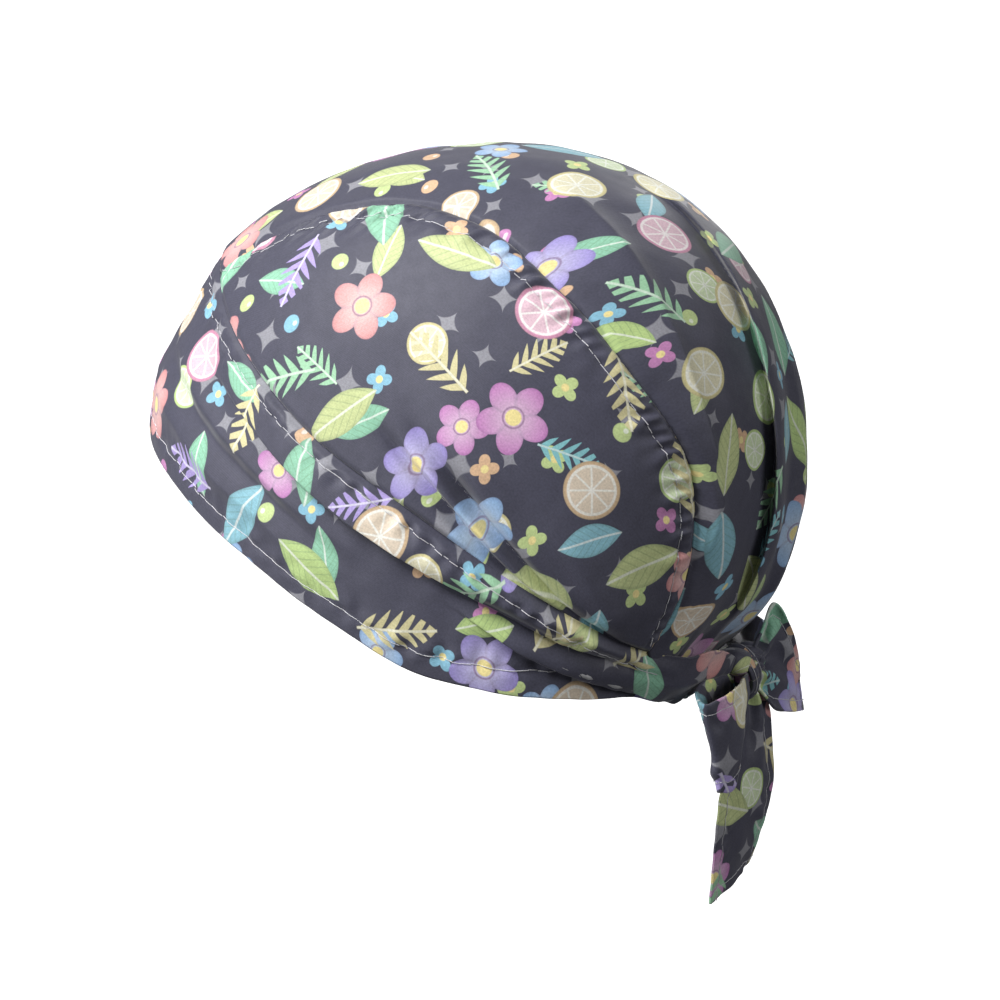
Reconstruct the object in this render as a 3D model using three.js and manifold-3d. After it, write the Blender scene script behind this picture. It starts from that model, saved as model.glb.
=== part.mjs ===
// Bandana cap, tied at the nape: a crown of three cloth panels on a wide band whose two ends
// narrow into a half-bow knot. Millimetres, +Z up. The wearer faces -Y, with the left side at +X.
// The origin is the middle of the head hollow, level with the widest part of the crown.
import * as THREE from 'three';
import Module from 'manifold-3d';
import { mergeVertices } from 'three/addons/utils/BufferGeometryUtils.js';

// Driving dimensions
const CLOTH_WALL = 1.2;
const TIE_WALL = 1.4;
const SEAM_GAP = 0.4;
const KNOT_GAP = 0.35;
const TIP_SHARE = 0.012; // share of a side panel's length cut off at each pointed tip
const SEAM_HOLD = 6; // width of the strip beside a seam in which folds die out

// Head form that the cloth follows: its reach from the origin each way, and the power of its
// rounded sections. Below the origin it is nearly upright at the cheeks and drawn in at the nape.
const HEAD = {
  halfWidth: 80,
  front: 121,
  back: 97,
  crown: 99.5,
  cheek: 150,
  nape: 94,
  cheekBearing: 105,
  napeBearing: 165,
  power: 2.1,
};

// Places on the head form are a bearing and a rise, in degrees. Bearing 0 is the brow, 90 the
// wearer's left and 180 the nape. Rise is the angle above the level of the origin.

// Seam between a side panel and the centre panel. station: mm along it from the brow.
const SIDE_SEAM = [
  { station: 0, bearing: 22.5, rise: 32 },
  { station: 23, bearing: 31, rise: 42.5 },
  { station: 48, bearing: 44.5, rise: 53.5 },
  { station: 78, bearing: 73.5, rise: 60.2 },
  { station: 107, bearing: 104, rise: 54.5 },
  { station: 141, bearing: 124.5, rise: 38 },
  { station: 171, bearing: 136.3, rise: 21.6 },
  { station: 203, bearing: 146.6, rise: 4 },
  { station: 226, bearing: 148.3, rise: -10.2 },
  { station: 248, bearing: 147, rise: -23.5 },
  { station: 267, bearing: 142.4, rise: -34 },
];
const SEAM_LENGTH = SIDE_SEAM.at(-1).station;
const SEAM_FRONT = SIDE_SEAM[0].bearing;
const SEAM_BACK = SIDE_SEAM.at(-1).bearing;
const NAPE_RELEASE = 7; // degrees either side of the seam's end over which the band comes free

// Band. rim, seam: rises of its lower and upper edges. lift: mm that it stands off the head form.
// The first row mirrors the third, so that the band crosses the brow without a kink.
const BAND = [
  { bearing: -22.5, rim: -1, seam: 32, lift: 0 },
  { bearing: 0, rim: 6, seam: 34, lift: 0 },
  { bearing: 22.5, rim: -1, seam: 32, lift: 0 },
  { bearing: 45, rim: -15, seam: 21, lift: 0 },
  { bearing: 65, rim: -28.4, seam: 7.5, lift: 0 },
  { bearing: 85, rim: -38.2, seam: -5, lift: 0 },
  { bearing: 105, rim: -41, seam: -17.5, lift: 0 },
  { bearing: 125, rim: -42, seam: -27.5, lift: 0 },
  { bearing: 142.4, rim: -44, seam: -34, lift: 0 },
  { bearing: 150, rim: -45, seam: -34.6, lift: 2.8 },
  { bearing: 162, rim: -46, seam: -35, lift: 3.4 },
  { bearing: 178, rim: -44.5, seam: -35.2, lift: 5 },
];
const BAND_END = BAND.at(-1).bearing;

// Free hem of the centre panel at the nape. offset: degrees of bearing from the middle of the back.
// The first row mirrors the third.
const NAPE_HEM = [
  { offset: -14, rise: -46.2 },
  { offset: 0, rise: -45.4 },
  { offset: 14, rise: -46.2 },
  { offset: 22, rise: -45 },
  { offset: 29, rise: -39.6 },
  { offset: 34.2, rise: -34.5 },
  { offset: 37.6, rise: -34 },
];

// Folds. A fold runs along its panel between from and to, and start and end are its places across
// the panel there. height: mm out from the head form. low, high: mm of reach of its flanks towards
// lower and higher places across. fadeIn, fadeOut: shares of the run over which it grows and dies.

// Centre panel: along is the seam's station, across is 1 at the left seam and -1 at the right.
const CENTER_FOLDS = [
  { from: 234, to: 290, start: 0, end: 0, height: -3.6, low: 48, high: 48, fadeIn: 0.55, fadeOut: 0 },
  { from: 100, to: 290, start: 0, end: 0, height: -4.6, low: 36, high: 36, fadeIn: 0.45, fadeOut: 0 },
  { from: 105, to: 232, start: 0.39, end: 0.95, height: 2.4, low: 5, high: 12, fadeIn: 0.3, fadeOut: 0.15 },
  { from: 105, to: 275, start: -0.52, end: -0.9, height: 2.2, low: 11, high: 13, fadeIn: 0.4, fadeOut: 0.1 },
  { from: 112, to: 250, start: -0.02, end: 0.42, height: 4.6, low: 15, high: 3.2, fadeIn: 0.35, fadeOut: 0.2 },
  { from: 150, to: 267, start: -0.14, end: -0.1, height: 3, low: 9, high: 3.4, fadeIn: 0.4, fadeOut: 0.32 },
  { from: 118, to: 267, start: -0.28, end: -0.42, height: 2.6, low: 3.6, high: 13, fadeIn: 0.4, fadeOut: 0 },
  { from: 150, to: 262, start: 0.24, end: 0.52, height: -1.6, low: 5, high: 11, fadeIn: 0.5, fadeOut: 0.1 },
  { from: 222, to: 267, start: 0.62, end: 0.55, height: -1.6, low: 6, high: 7, fadeIn: 0.8, fadeOut: 0 },
];

// Side panels: along is the share of the panel's length from the brow, across is 0 at the band and
// 1 at the centre panel's seam.
const SIDE_FOLDS = [
  { from: 0.4, to: 0.92, start: 0.45, end: -0.07, height: 2.4, low: 3.5, high: 8, fadeIn: 0.4, fadeOut: 0.25 },
  { from: 0.34, to: 0.88, start: 0.29, end: -0.07, height: -1.8, low: 4, high: 4, fadeIn: 0.4, fadeOut: 0.3 },
  { from: 0.62, to: 0.98, start: 0.42, end: 0.08, height: 1.4, low: 4, high: 7, fadeIn: 0.5, fadeOut: 0.3 },
];

// Band: along is the bearing, across is 0 at the rim and 1 at the upper seam.
const BAND_FOLDS = [
  { from: -60, to: 60, start: 0.72, end: 0.72, height: -2.8, low: 13, high: 12, fadeIn: 0.4, fadeOut: 0.45 },
  { from: 24, to: 146, start: 0.75, end: 0.78, height: 2.8, low: 2.6, high: 9, fadeIn: 0.4, fadeOut: 0.2 },
  { from: 6, to: 78, start: 0.58, end: 0.46, height: 1.2, low: 4.5, high: 5, fadeIn: 0.5, fadeOut: 0.5 },
  { from: 4, to: 70, start: 0.3, end: 0.27, height: 1.6, low: 5, high: 5, fadeIn: 0.5, fadeOut: 0.5 },
  { from: 88, to: 168, start: 0.56, end: 0, height: -1.6, low: 5, high: 4, fadeIn: 0.4, fadeOut: 0.25 },
  { from: 118, to: 178, start: 0.5, end: 0.62, height: 2.6, low: 3, high: 4.5, fadeIn: 0.5, fadeOut: 0 },
];

// Knot: a wrapped lump. A raised turn of cloth, tilted from upright, goes round it.
const KNOT = {
  center: new THREE.Vector3(-1, 78, -66),
  reach: new THREE.Vector3(8.6, 7.6, 9.4),
  wrapTilt: 28,
  wrapRise: 0.16,
  wrapWidth: 0.42,
  slices: 20,
  stacks: 12,
};

// Ties. Each row is a section across the ribbon, given by its two edge points, and the ribbon
// starts inside the knot. bow: mm that the cloth bulges between its edges.

// Bow loop, out towards the wearer's left and back, with its opening upright.
const TIE_LOOP = [
  { edge: [0, 80.5, -67], farEdge: [0, 80, -72.5], bow: 0 },
  { edge: [14, 84, -66], farEdge: [13, 83, -80], bow: 1 },
  { edge: [30, 85, -67.5], farEdge: [28, 84, -94.5], bow: 1 },
  { edge: [42, 79.5, -70], farEdge: [36, 82.5, -98], bow: 0 },
  { edge: [33, 74, -69.5], farEdge: [29, 80, -95.5], bow: -1 },
  { edge: [16, 76, -70], farEdge: [15, 79, -84], bow: 0 },
  { edge: [0, 77.5, -68.5], farEdge: [0, 78, -75], bow: 0 },
];

// Long tail, hanging, with a slanted end.
const TIE_TAIL_LONG = [
  { edge: [1, 78, -70], farEdge: [-6, 79, -70], bow: 0 },
  { edge: [2.5, 78, -80], farEdge: [-11, 84, -78], bow: 1 },
  { edge: [8.5, 77, -92], farEdge: [-13, 85, -90], bow: 1.4 },
  { edge: [14, 76, -106], farEdge: [-15, 85, -105], bow: 1.6 },
  { edge: [14.5, 74.5, -124], farEdge: [-15, 81.5, -120], bow: 1.2 },
  { edge: [14, 73, -140], farEdge: [-14, 77.5, -132], bow: 0.8 },
];

// Short tail, flopped out to the wearer's right, its folds spreading from the knot.
const TIE_TAIL_SHORT = [
  { edge: [-3, 83, -59.2], farEdge: [-3, 81.4, -70], bow: 0 },
  { edge: [-7.4, 86.4, -53], farEdge: [-7, 84.8, -75.5], bow: 0.6 },
  { edge: [-16, 85, -47.4], farEdge: [-12, 86.6, -80.5], bow: 1.2 },
  { edge: [-21, 87.6, -53.2], farEdge: [-21, 88.2, -82.8], bow: 1.2 },
  { edge: [-27, 89, -62.8], farEdge: [-29, 89, -84.4], bow: 0.8 },
  { edge: [-33, 88, -70], farEdge: [-36, 89, -85.2], bow: 0 },
];
const TAIL_PLEATS = { count: 2.5, height: 1.4 };

// Grid steps: along the seams, across each panel, and on the free parts of the band
const SEAM_STEPS = 30;
const CENTER_STEPS = 26;
const SIDE_STEPS = 9;
const BAND_STEPS = 8;
const BROW_STEPS = 5;
const NAPE_STEPS = 7;
const TIE_STEPS = 18;
const TIE_CROSS_STEPS = 6;
const TIE_PROBE = 0.01; // share of a ribbon's length either side, to find which way it runs

const CLOTH_COLOUR = '#3b3b44';
const CLOTH_ROUGHNESS = 0.85;

const wasm = await Module();
wasm.setup();

const { degToRad, lerp, smoothstep } = THREE.MathUtils;

// Smooth value of a table's column at a place between its rows
function readTable(rows, key, column, place) {
  let row = rows.findIndex((next) => next[key] > place) - 1;
  if (row < 0) row = place < rows[0][key] ? 0 : rows.length - 2;
  const slope = (index) => {
    const before = rows[Math.max(index - 1, 0)];
    const after = rows[Math.min(index + 1, rows.length - 1)];
    return (after[column] - before[column]) / (after[key] - before[key]);
  };
  const step = rows[row + 1][key] - rows[row][key];
  const u = (place - rows[row][key]) / step;
  const start = rows[row][column];
  const end = rows[row + 1][column];
  const curved = u * (1 - u) * step;
  return start + (end - start) * u * u * (3 - 2 * u)
    + curved * ((1 - u) * slope(row) - u * slope(row + 1));
}

// Unit direction from the origin at a bearing and a rise
function direction(bearing, rise) {
  const [turn, climb] = [degToRad(bearing), degToRad(rise)];
  return new THREE.Vector3(
    Math.sin(turn) * Math.cos(climb),
    -Math.cos(turn) * Math.cos(climb),
    Math.sin(climb),
  );
}

function bearingOf(way) {
  return THREE.MathUtils.radToDeg(Math.atan2(Math.abs(way.x), -way.y));
}

// Distance from the origin to the head form along a unit direction
function headReach(way) {
  const drawnIn = smoothstep(bearingOf(way), HEAD.cheekBearing, HEAD.napeBearing);
  const depth = way.z > 0 ? HEAD.crown : lerp(HEAD.cheek, HEAD.nape, drawnIn);
  const length = way.y < 0 ? HEAD.front : HEAD.back;
  const share = (part, reach) => Math.pow(Math.abs(part) / reach, HEAD.power);
  const sum = share(way.x, HEAD.halfWidth) + share(way.y, length) + share(way.z, depth);
  return Math.pow(sum, -1 / HEAD.power);
}

function mirrored(way, side) {
  return new THREE.Vector3(way.x * side, way.y, way.z);
}

// Bell-shaped rise of the cloth from a list of folds
function foldHeight(folds, along, across, span) {
  let height = 0;
  for (const fold of folds) {
    const run = (along - fold.from) / (fold.to - fold.from);
    if (run <= 0 || run > 1) continue;
    const growth = smoothstep(run, 0, fold.fadeIn);
    const decay = fold.fadeOut > 0 ? smoothstep(1 - run, 0, fold.fadeOut) : 1;
    const distance = (across - lerp(fold.start, fold.end, run)) * span;
    const reach = distance < 0 ? fold.low : fold.high;
    height += fold.height * growth * decay * Math.exp(-((distance / reach) ** 2));
  }
  return height;
}

// Share of a fold's height that is left at a distance from a seam
function heldBySeam(distance) {
  return smoothstep(distance, 0, SEAM_HOLD);
}

// Side seam's direction at a station, on the left (side 1) or the right (side -1)
function seamWay(station, side) {
  const bearing = readTable(SIDE_SEAM, 'station', 'bearing', station);
  const rise = readTable(SIDE_SEAM, 'station', 'rise', station);
  return mirrored(direction(bearing, rise), side);
}

// Band edge's direction at a bearing that is negative on the right side
function bandWay(edge, bearing) {
  const rise = readTable(BAND, 'bearing', edge, Math.abs(bearing));
  return direction(bearing, rise);
}

function hemWay(bearing) {
  return direction(bearing, readTable(NAPE_HEM, 'offset', 'rise', Math.abs(bearing - 180)));
}

// Patch of directions between four edges that share their corners
function patchWay(low, high, first, last, along, across) {
  const blend = low(along).multiplyScalar(1 - across).addScaledVector(high(along), across);
  const ends = first(across).multiplyScalar(1 - along).addScaledVector(last(across), along);
  const corners = low(0).multiplyScalar((1 - along) * (1 - across))
    .addScaledVector(high(0), (1 - along) * across)
    .addScaledVector(low(1), along * (1 - across))
    .addScaledVector(high(1), along * across);
  return blend.add(ends).sub(corners);
}

// Closed solid between two like grids of points
function closedSheet(alongSteps, acrossSteps, outer, inner) {
  const width = acrossSteps + 1;
  const layer = (alongSteps + 1) * width;
  const points = [];
  for (const face of [outer, inner]) {
    for (let i = 0; i <= alongSteps; i += 1) {
      for (let j = 0; j <= acrossSteps; j += 1) points.push(face(i, j));
    }
  }
  const index = [];
  const quad = (a, b, c, d) => index.push(a, b, c, a, c, d);
  for (let i = 0; i < alongSteps; i += 1) {
    for (let j = 0; j < acrossSteps; j += 1) {
      const a = i * width + j;
      quad(a, a + 1, a + width + 1, a + width);
      quad(layer + a, layer + a + width, layer + a + width + 1, layer + a + 1);
    }
  }
  for (let i = 0; i < alongSteps; i += 1) {
    const a = i * width;
    const b = a + acrossSteps;
    quad(a + width, layer + a + width, layer + a, a);
    quad(b, layer + b, layer + b + width, b + width);
  }
  for (let j = 0; j < acrossSteps; j += 1) {
    const a = j;
    const b = alongSteps * width + j;
    quad(a, layer + a, layer + a + 1, a + 1);
    quad(b + 1, layer + b + 1, layer + b, b);
  }
  return outwardSolid(points, index);
}

// Indexed geometry with its faces pointing out
function outwardSolid(points, index) {
  let volume = 0;
  const normal = new THREE.Vector3();
  for (let k = 0; k < index.length; k += 3) {
    const [a, b, c] = [points[index[k]], points[index[k + 1]], points[index[k + 2]]];
    volume += a.dot(normal.crossVectors(b, c));
  }
  const geometry = new THREE.BufferGeometry().setFromPoints(points);
  geometry.setIndex(volume < 0 ? index.reverse() : index);
  return geometry;
}

// Cloth wall on the head form: its outer face follows way(i, j) with the rise height(i, j)
function headSheet(alongSteps, acrossSteps, way, height) {
  const point = (i, j, depth) => {
    const toward = way(i, j).normalize();
    return toward.clone().multiplyScalar(headReach(toward) + height(i, j, toward) - depth);
  };
  const outer = (i, j) => point(i, j, 0);
  const inner = (i, j) => point(i, j, CLOTH_WALL);
  return closedSheet(alongSteps, acrossSteps, outer, inner);
}

// Edge curve moved half the seam gap towards another edge
function insetEdge(edge, towards) {
  return (share) => {
    const way = edge(share);
    const pull = towards(share).sub(way);
    const shift = SEAM_GAP / 2 / headReach(way.clone().normalize());
    return way.addScaledVector(pull.normalize(), Math.min(shift, pull.length() / 3));
  };
}

function centerPanel() {
  const left = (share) => seamWay(share * SEAM_LENGTH, 1);
  const right = (share) => seamWay(share * SEAM_LENGTH, -1);
  const low = insetEdge(right, left);
  const high = insetEdge(left, right);
  const browGap = SEAM_GAP / 2 / HEAD.front;
  const first = (share) => {
    const way = bandWay('seam', lerp(-SEAM_FRONT, SEAM_FRONT, share));
    way.z += browGap;
    return way;
  };
  const last = (share) => hemWay(lerp(360 - SEAM_BACK, SEAM_BACK, share));
  const way = (i, j) => patchWay(low, high, first, last, i / SEAM_STEPS, j / CENTER_STEPS);
  const height = (i, j) => {
    const station = (i / SEAM_STEPS) * SEAM_LENGTH;
    const across = (2 * j) / CENTER_STEPS - 1;
    const seamAway = headReach(left(i / SEAM_STEPS)) * left(i / SEAM_STEPS).x;
    return heldBySeam((1 - Math.abs(across)) * seamAway)
      * foldHeight(CENTER_FOLDS, station, across, seamAway);
  };
  return headSheet(SEAM_STEPS, CENTER_STEPS, way, height);
}

function sidePanel(side) {
  const seam = (share) => seamWay(share * SEAM_LENGTH, side);
  const bandTop = (share) => bandWay('seam', side * lerp(SEAM_FRONT, SEAM_BACK, share));
  const inside = (share) => lerp(TIP_SHARE, 1 - TIP_SHARE, share);
  const high = (share) => insetEdge(seam, bandTop)(inside(share));
  const low = (share) => insetEdge(bandTop, seam)(inside(share));
  const way = (i, j) => {
    const share = i / SEAM_STEPS;
    return low(share).lerp(high(share), j / SIDE_STEPS);
  };
  const height = (i, j) => {
    const share = i / SEAM_STEPS;
    const span = low(share).distanceTo(high(share)) * HEAD.halfWidth;
    const across = j / SIDE_STEPS;
    return heldBySeam(Math.min(across, 1 - across) * span)
      * foldHeight(SIDE_FOLDS, share, across, span);
  };
  return headSheet(SEAM_STEPS, SIDE_STEPS, way, height);
}

// Bearings of the band's sections, closely matched to the panels above it
function bandBearings() {
  const half = [];
  for (let i = 0; i < BROW_STEPS; i += 1) half.push((i / BROW_STEPS) * SEAM_FRONT);
  for (let i = 0; i < SEAM_STEPS; i += 1) half.push(lerp(SEAM_FRONT, SEAM_BACK, i / SEAM_STEPS));
  for (let i = 0; i <= NAPE_STEPS; i += 1) half.push(lerp(SEAM_BACK, BAND_END, i / NAPE_STEPS));
  const right = half.slice(1).reverse().map((bearing) => -bearing);
  return [...right, ...half];
}

function band() {
  const bearings = bandBearings();
  const edgeShift = SEAM_GAP / 2 / HEAD.halfWidth;
  const way = (i, j) => {
    const seam = bandWay('seam', bearings[i]);
    seam.z -= edgeShift;
    return bandWay('rim', bearings[i]).lerp(seam, j / BAND_STEPS);
  };
  const height = (i, j) => {
    const bearing = Math.abs(bearings[i]);
    const span = bandWay('rim', bearing).distanceTo(bandWay('seam', bearing)) * HEAD.halfWidth;
    const lift = readTable(BAND, 'bearing', 'lift', bearing);
    const across = j / BAND_STEPS;
    const sewn = 1 - smoothstep(bearing, SEAM_BACK - NAPE_RELEASE, SEAM_BACK + NAPE_RELEASE);
    const held = lerp(1, heldBySeam((1 - across) * span), sewn);
    return lift + held * foldHeight(BAND_FOLDS, bearing, across, span);
  };
  return headSheet(bearings.length - 1, BAND_STEPS, way, height);
}

// Knot, grown all round by a margin
function knotSolid(margin) {
  const geometry = new THREE.SphereGeometry(1, KNOT.slices, KNOT.stacks);
  geometry.deleteAttribute('normal');
  geometry.deleteAttribute('uv');
  const solid = mergeVertices(geometry);
  const place = solid.getAttribute('position');
  const wrapAxis = new THREE.Vector3(Math.cos(degToRad(KNOT.wrapTilt)), 0, Math.sin(degToRad(KNOT.wrapTilt)));
  const point = new THREE.Vector3();
  for (let k = 0; k < place.count; k += 1) {
    point.fromBufferAttribute(place, k).normalize();
    const offWrap = point.dot(wrapAxis) / KNOT.wrapWidth;
    const swell = 1 + KNOT.wrapRise * Math.exp(-(offWrap ** 2));
    const grown = KNOT.reach.clone().multiplyScalar(swell).addScalar(margin);
    point.multiply(grown).add(KNOT.center);
    place.setXYZ(k, point.x, point.y, point.z);
  }
  return solid;
}

function toManifold(geometry) {
  const vertProperties = new Float32Array(geometry.getAttribute('position').array);
  const triVerts = new Uint32Array(geometry.getIndex().array);
  return new wasm.Manifold(new wasm.Mesh({ numProp: 3, vertProperties, triVerts }));
}

// Solid with the room that the knot takes cut out of it
function trimmedAtKnot(geometry) {
  const cut = toManifold(geometry).subtract(toManifold(knotSolid(KNOT_GAP))).getMesh();
  const trimmed = new THREE.BufferGeometry();
  trimmed.setAttribute('position', new THREE.BufferAttribute(new Float32Array(cut.vertProperties), 3));
  trimmed.setIndex(new THREE.BufferAttribute(new Uint32Array(cut.triVerts), 1));
  return trimmed;
}

// Smooth value of one of a tie's columns at a share of its length
function readSection(rows, column, share) {
  const keyed = rows.map((row, place) => ({ place, value: row[column] }));
  return readTable(keyed, 'place', 'value', share * (rows.length - 1));
}

function readEdge(rows, column, share) {
  const axis = (k) => rows.map((row) => ({ part: row[column][k] }));
  const parts = [0, 1, 2].map((k) => readSection(axis(k), 'part', share));
  return new THREE.Vector3(...parts);
}

// Ribbon through its sections, as thick as a hemmed tie, with pleats that fade along it
function tieRibbon(rows, pleats) {
  const middle = (along, across) => {
    const edge = readEdge(rows, 'edge', along);
    return edge.lerp(readEdge(rows, 'farEdge', along), across);
  };
  const facing = (along, across) => {
    const onward = middle(along + TIE_PROBE, across).sub(middle(along - TIE_PROBE, across));
    const sideways = readEdge(rows, 'farEdge', along).sub(readEdge(rows, 'edge', along));
    return onward.cross(sideways).normalize();
  };
  const point = (i, j, offset) => {
    const [along, across] = [i / TIE_STEPS, j / TIE_CROSS_STEPS];
    const bow = readSection(rows, 'bow', along) * Math.sin(Math.PI * across);
    const pleat = pleats.height * (1 - along) * Math.sin(2 * Math.PI * pleats.count * across);
    return middle(along, across).addScaledVector(facing(along, across), bow + pleat + offset);
  };
  const outer = (i, j) => point(i, j, TIE_WALL / 2);
  const inner = (i, j) => point(i, j, -TIE_WALL / 2);
  return trimmedAtKnot(closedSheet(TIE_STEPS, TIE_CROSS_STEPS, outer, inner));
}

const NO_PLEATS = { count: 0, height: 0 };
const cap = new THREE.Group();

function addPiece(name, geometry) {
  const material = new THREE.MeshStandardMaterial({
    color: CLOTH_COLOUR,
    roughness: CLOTH_ROUGHNESS,
    metalness: 0,
  });
  const piece = new THREE.Mesh(geometry, material);
  piece.name = name;
  cap.add(piece);
}

addPiece('band', trimmedAtKnot(band()));
addPiece('side_panel_left', sidePanel(1));
addPiece('side_panel_right', sidePanel(-1));
addPiece('center_panel', centerPanel());
addPiece('knot', knotSolid(0));
addPiece('tie_loop', tieRibbon(TIE_LOOP, NO_PLEATS));
addPiece('tie_tail_long', tieRibbon(TIE_TAIL_LONG, NO_PLEATS));
addPiece('tie_tail_short', tieRibbon(TIE_TAIL_SHORT, TAIL_PLEATS));

export default cap;
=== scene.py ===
"""Bandana cap in soft studio light: three crown panels and a wide band, tied at the nape.

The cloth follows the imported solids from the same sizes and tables, in millimetres, and every mesh
is placed in metres in the part's own frame: +Z up, the wearer faces -Y, the left side is at +X.
"""

import logging
import math
from dataclasses import dataclass
from enum import Enum
from typing import Any, ClassVar, NamedTuple, Union

import bpy
import numpy as np
from mathutils import Matrix, Vector


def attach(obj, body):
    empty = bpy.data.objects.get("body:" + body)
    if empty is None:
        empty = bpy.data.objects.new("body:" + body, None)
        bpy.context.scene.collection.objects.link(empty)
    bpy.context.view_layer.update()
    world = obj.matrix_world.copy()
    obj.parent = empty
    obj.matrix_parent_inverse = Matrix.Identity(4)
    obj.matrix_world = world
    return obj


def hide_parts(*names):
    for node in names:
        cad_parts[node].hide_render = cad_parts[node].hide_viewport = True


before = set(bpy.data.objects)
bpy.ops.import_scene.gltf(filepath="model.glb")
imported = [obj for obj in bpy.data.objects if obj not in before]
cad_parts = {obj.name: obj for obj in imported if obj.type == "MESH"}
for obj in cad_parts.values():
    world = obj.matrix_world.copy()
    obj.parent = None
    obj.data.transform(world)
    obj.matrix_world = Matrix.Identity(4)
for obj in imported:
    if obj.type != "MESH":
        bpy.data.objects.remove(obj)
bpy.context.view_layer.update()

LOG = logging.getLogger("bandana_cap")
MM = 0.001
TINY = 1e-9
Array = np.ndarray


class Side(Enum):
    """Side of the wearer that a piece is on."""

    LEFT = 1
    RIGHT = -1


class Held(Enum):
    """Way that a sheet of cloth is held in shape."""

    STRETCHED = "stretched"
    GATHERED = "gathered"
    HUNG = "hung"
    FOLDED = "folded"


def smoothstep(value: Array, low: Any, high: Any) -> Array:
    """Smooth rise from 0 at low to 1 at high."""
    share = np.clip((value - low) / (high - low), 0.0, 1.0)
    return share * share * (3.0 - 2.0 * share)


def lerp(start: Any, end: Any, share: Any) -> Any:
    """Value at a share of the way from start to end."""
    return start + (end - start) * share


def unit(vectors: Array) -> Array:
    """Vectors of length 1 along the last axis."""
    length = np.linalg.norm(vectors, axis=-1, keepdims=True)
    return vectors / np.maximum(length, TINY)


def direction(bearing: Array, rise: Array) -> Array:
    """Unit directions from the origin at bearings and rises in degrees.

    Args:
        bearing: 0 at the brow, 90 at the wearer's left, 180 at the nape.
        rise: Angle above the level of the origin.

    Returns:
        Directions, with their three parts on the last axis.
    """
    turn, climb = np.radians(bearing), np.radians(rise)
    level = np.cos(climb)
    return np.stack([np.sin(turn) * level, -np.cos(turn) * level, np.sin(climb) + 0 * turn], -1)


def share_grid(rows: int, columns: int) -> tuple[Array, ...]:
    """Even shares from 0 to 1 along and across a grid of that size."""
    return tuple(np.meshgrid(np.linspace(0, 1, rows), np.linspace(0, 1, columns), indexing="ij"))


class Row(NamedTuple):
    """Even places from a start to a stop, such as those of a row of stitches."""

    start: float
    stop: float
    steps: int

    def places(self) -> Array:
        """The places in order."""
        return np.linspace(self.start, self.stop, self.steps)


@dataclass(frozen=True)
class SmoothTable:
    """Table whose columns are read smoothly between its rows; the first column is the key."""

    columns: tuple[str, ...]
    rows: tuple[tuple[float, ...], ...]

    def read(self, column: str, place: Any) -> Array:
        """Smooth values of a column.

        Args:
            column: Name of the column.
            place: Values of the key column.

        Returns:
            The column's value at each place.
        """
        table = np.array(self.rows, float)
        key = table[:, 0]
        value = table[:, self.columns.index(column)]
        before = np.maximum(np.arange(len(key)) - 1, 0)
        after = np.minimum(np.arange(len(key)) + 1, len(key) - 1)
        slope = (value[after] - value[before]) / (key[after] - key[before])
        place = np.asarray(place, float)
        row = np.clip(np.searchsorted(key, place, side="right") - 1, 0, len(key) - 2)
        step = key[row + 1] - key[row]
        u = (place - key[row]) / step
        curved = u * (1 - u) * step * ((1 - u) * slope[row] - u * slope[row + 1])
        return lerp(value[row], value[row + 1], u * u * (3 - 2 * u)) + curved


SIDE_SEAM = SmoothTable(
    ("station", "bearing", "rise"),
    (
        (0, 22.5, 32), (23, 31, 42.5), (48, 44.5, 53.5), (78, 73.5, 60.2), (107, 104, 54.5),
        (141, 124.5, 38), (171, 136.3, 21.6), (203, 146.6, 4), (226, 148.3, -10.2),
        (248, 147, -23.5), (267, 142.4, -34),
    ),
)
BAND_EDGES = SmoothTable(
    ("bearing", "rim", "seam", "lift"),
    (
        (-22.5, -1, 32, 0), (0, 6, 34, 0), (22.5, -1, 32, 0), (45, -15, 21, 0),
        (65, -28.4, 7.5, 0), (85, -38.2, -5, 0), (105, -41, -17.5, 0), (125, -42, -27.5, 0),
        (142.4, -44, -34, 0), (150, -45, -34, 2.6), (162, -46, -34, 3.2), (170, -44.6, -36, 3.4),
        (176, -42, -38.6, 2),
    ),
)
NAPE_HEM = SmoothTable(
    ("offset", "rise"),
    (
        (-14, -46.2), (0, -45.6), (14, -46.4), (22, -46), (29, -44), (34.2, -40), (36.4, -36.6),
        (37.6, -34),
    ),
)
SEAM_LENGTH = SIDE_SEAM.rows[-1][0]
SEAM_FRONT = SIDE_SEAM.rows[0][1]
SEAM_BACK = SIDE_SEAM.rows[-1][1]
BAND_END = BAND_EDGES.rows[-1][0]
NAPE_MIDDLE = 180.0


@dataclass(frozen=True)
class HeadForm:
    """Form that the cloth follows: its reach from the origin each way, in millimetres."""

    half_width: float = 80.0
    front: float = 121.0
    back: float = 97.0
    crown: float = 99.5
    cheek: float = 150.0
    nape: float = 94.0
    cheek_bearing: float = 105.0
    nape_bearing: float = 165.0
    power: float = 2.1

    def reach(self, way: Array) -> Array:
        """Distances from the origin to the form along unit directions.

        Args:
            way: Unit directions.

        Returns:
            One distance for each direction.
        """
        x, y, z = way[..., 0], way[..., 1], way[..., 2]
        bearing = np.degrees(np.arctan2(np.abs(x), -y))
        drawn_in = smoothstep(bearing, self.cheek_bearing, self.nape_bearing)
        depth = np.where(z > 0, self.crown, lerp(self.cheek, self.nape, drawn_in))
        length = np.where(y < 0, self.front, self.back)
        total = (np.abs(x) / self.half_width) ** self.power
        total = total + (np.abs(y) / length) ** self.power + (np.abs(z) / depth) ** self.power
        return total ** (-1.0 / self.power)

    def out(self, way: Array, rise: Any) -> Array:
        """Points at a rise above the form along directions of any length."""
        toward = unit(way)
        return toward * (self.reach(toward) + rise)[..., None]


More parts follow.
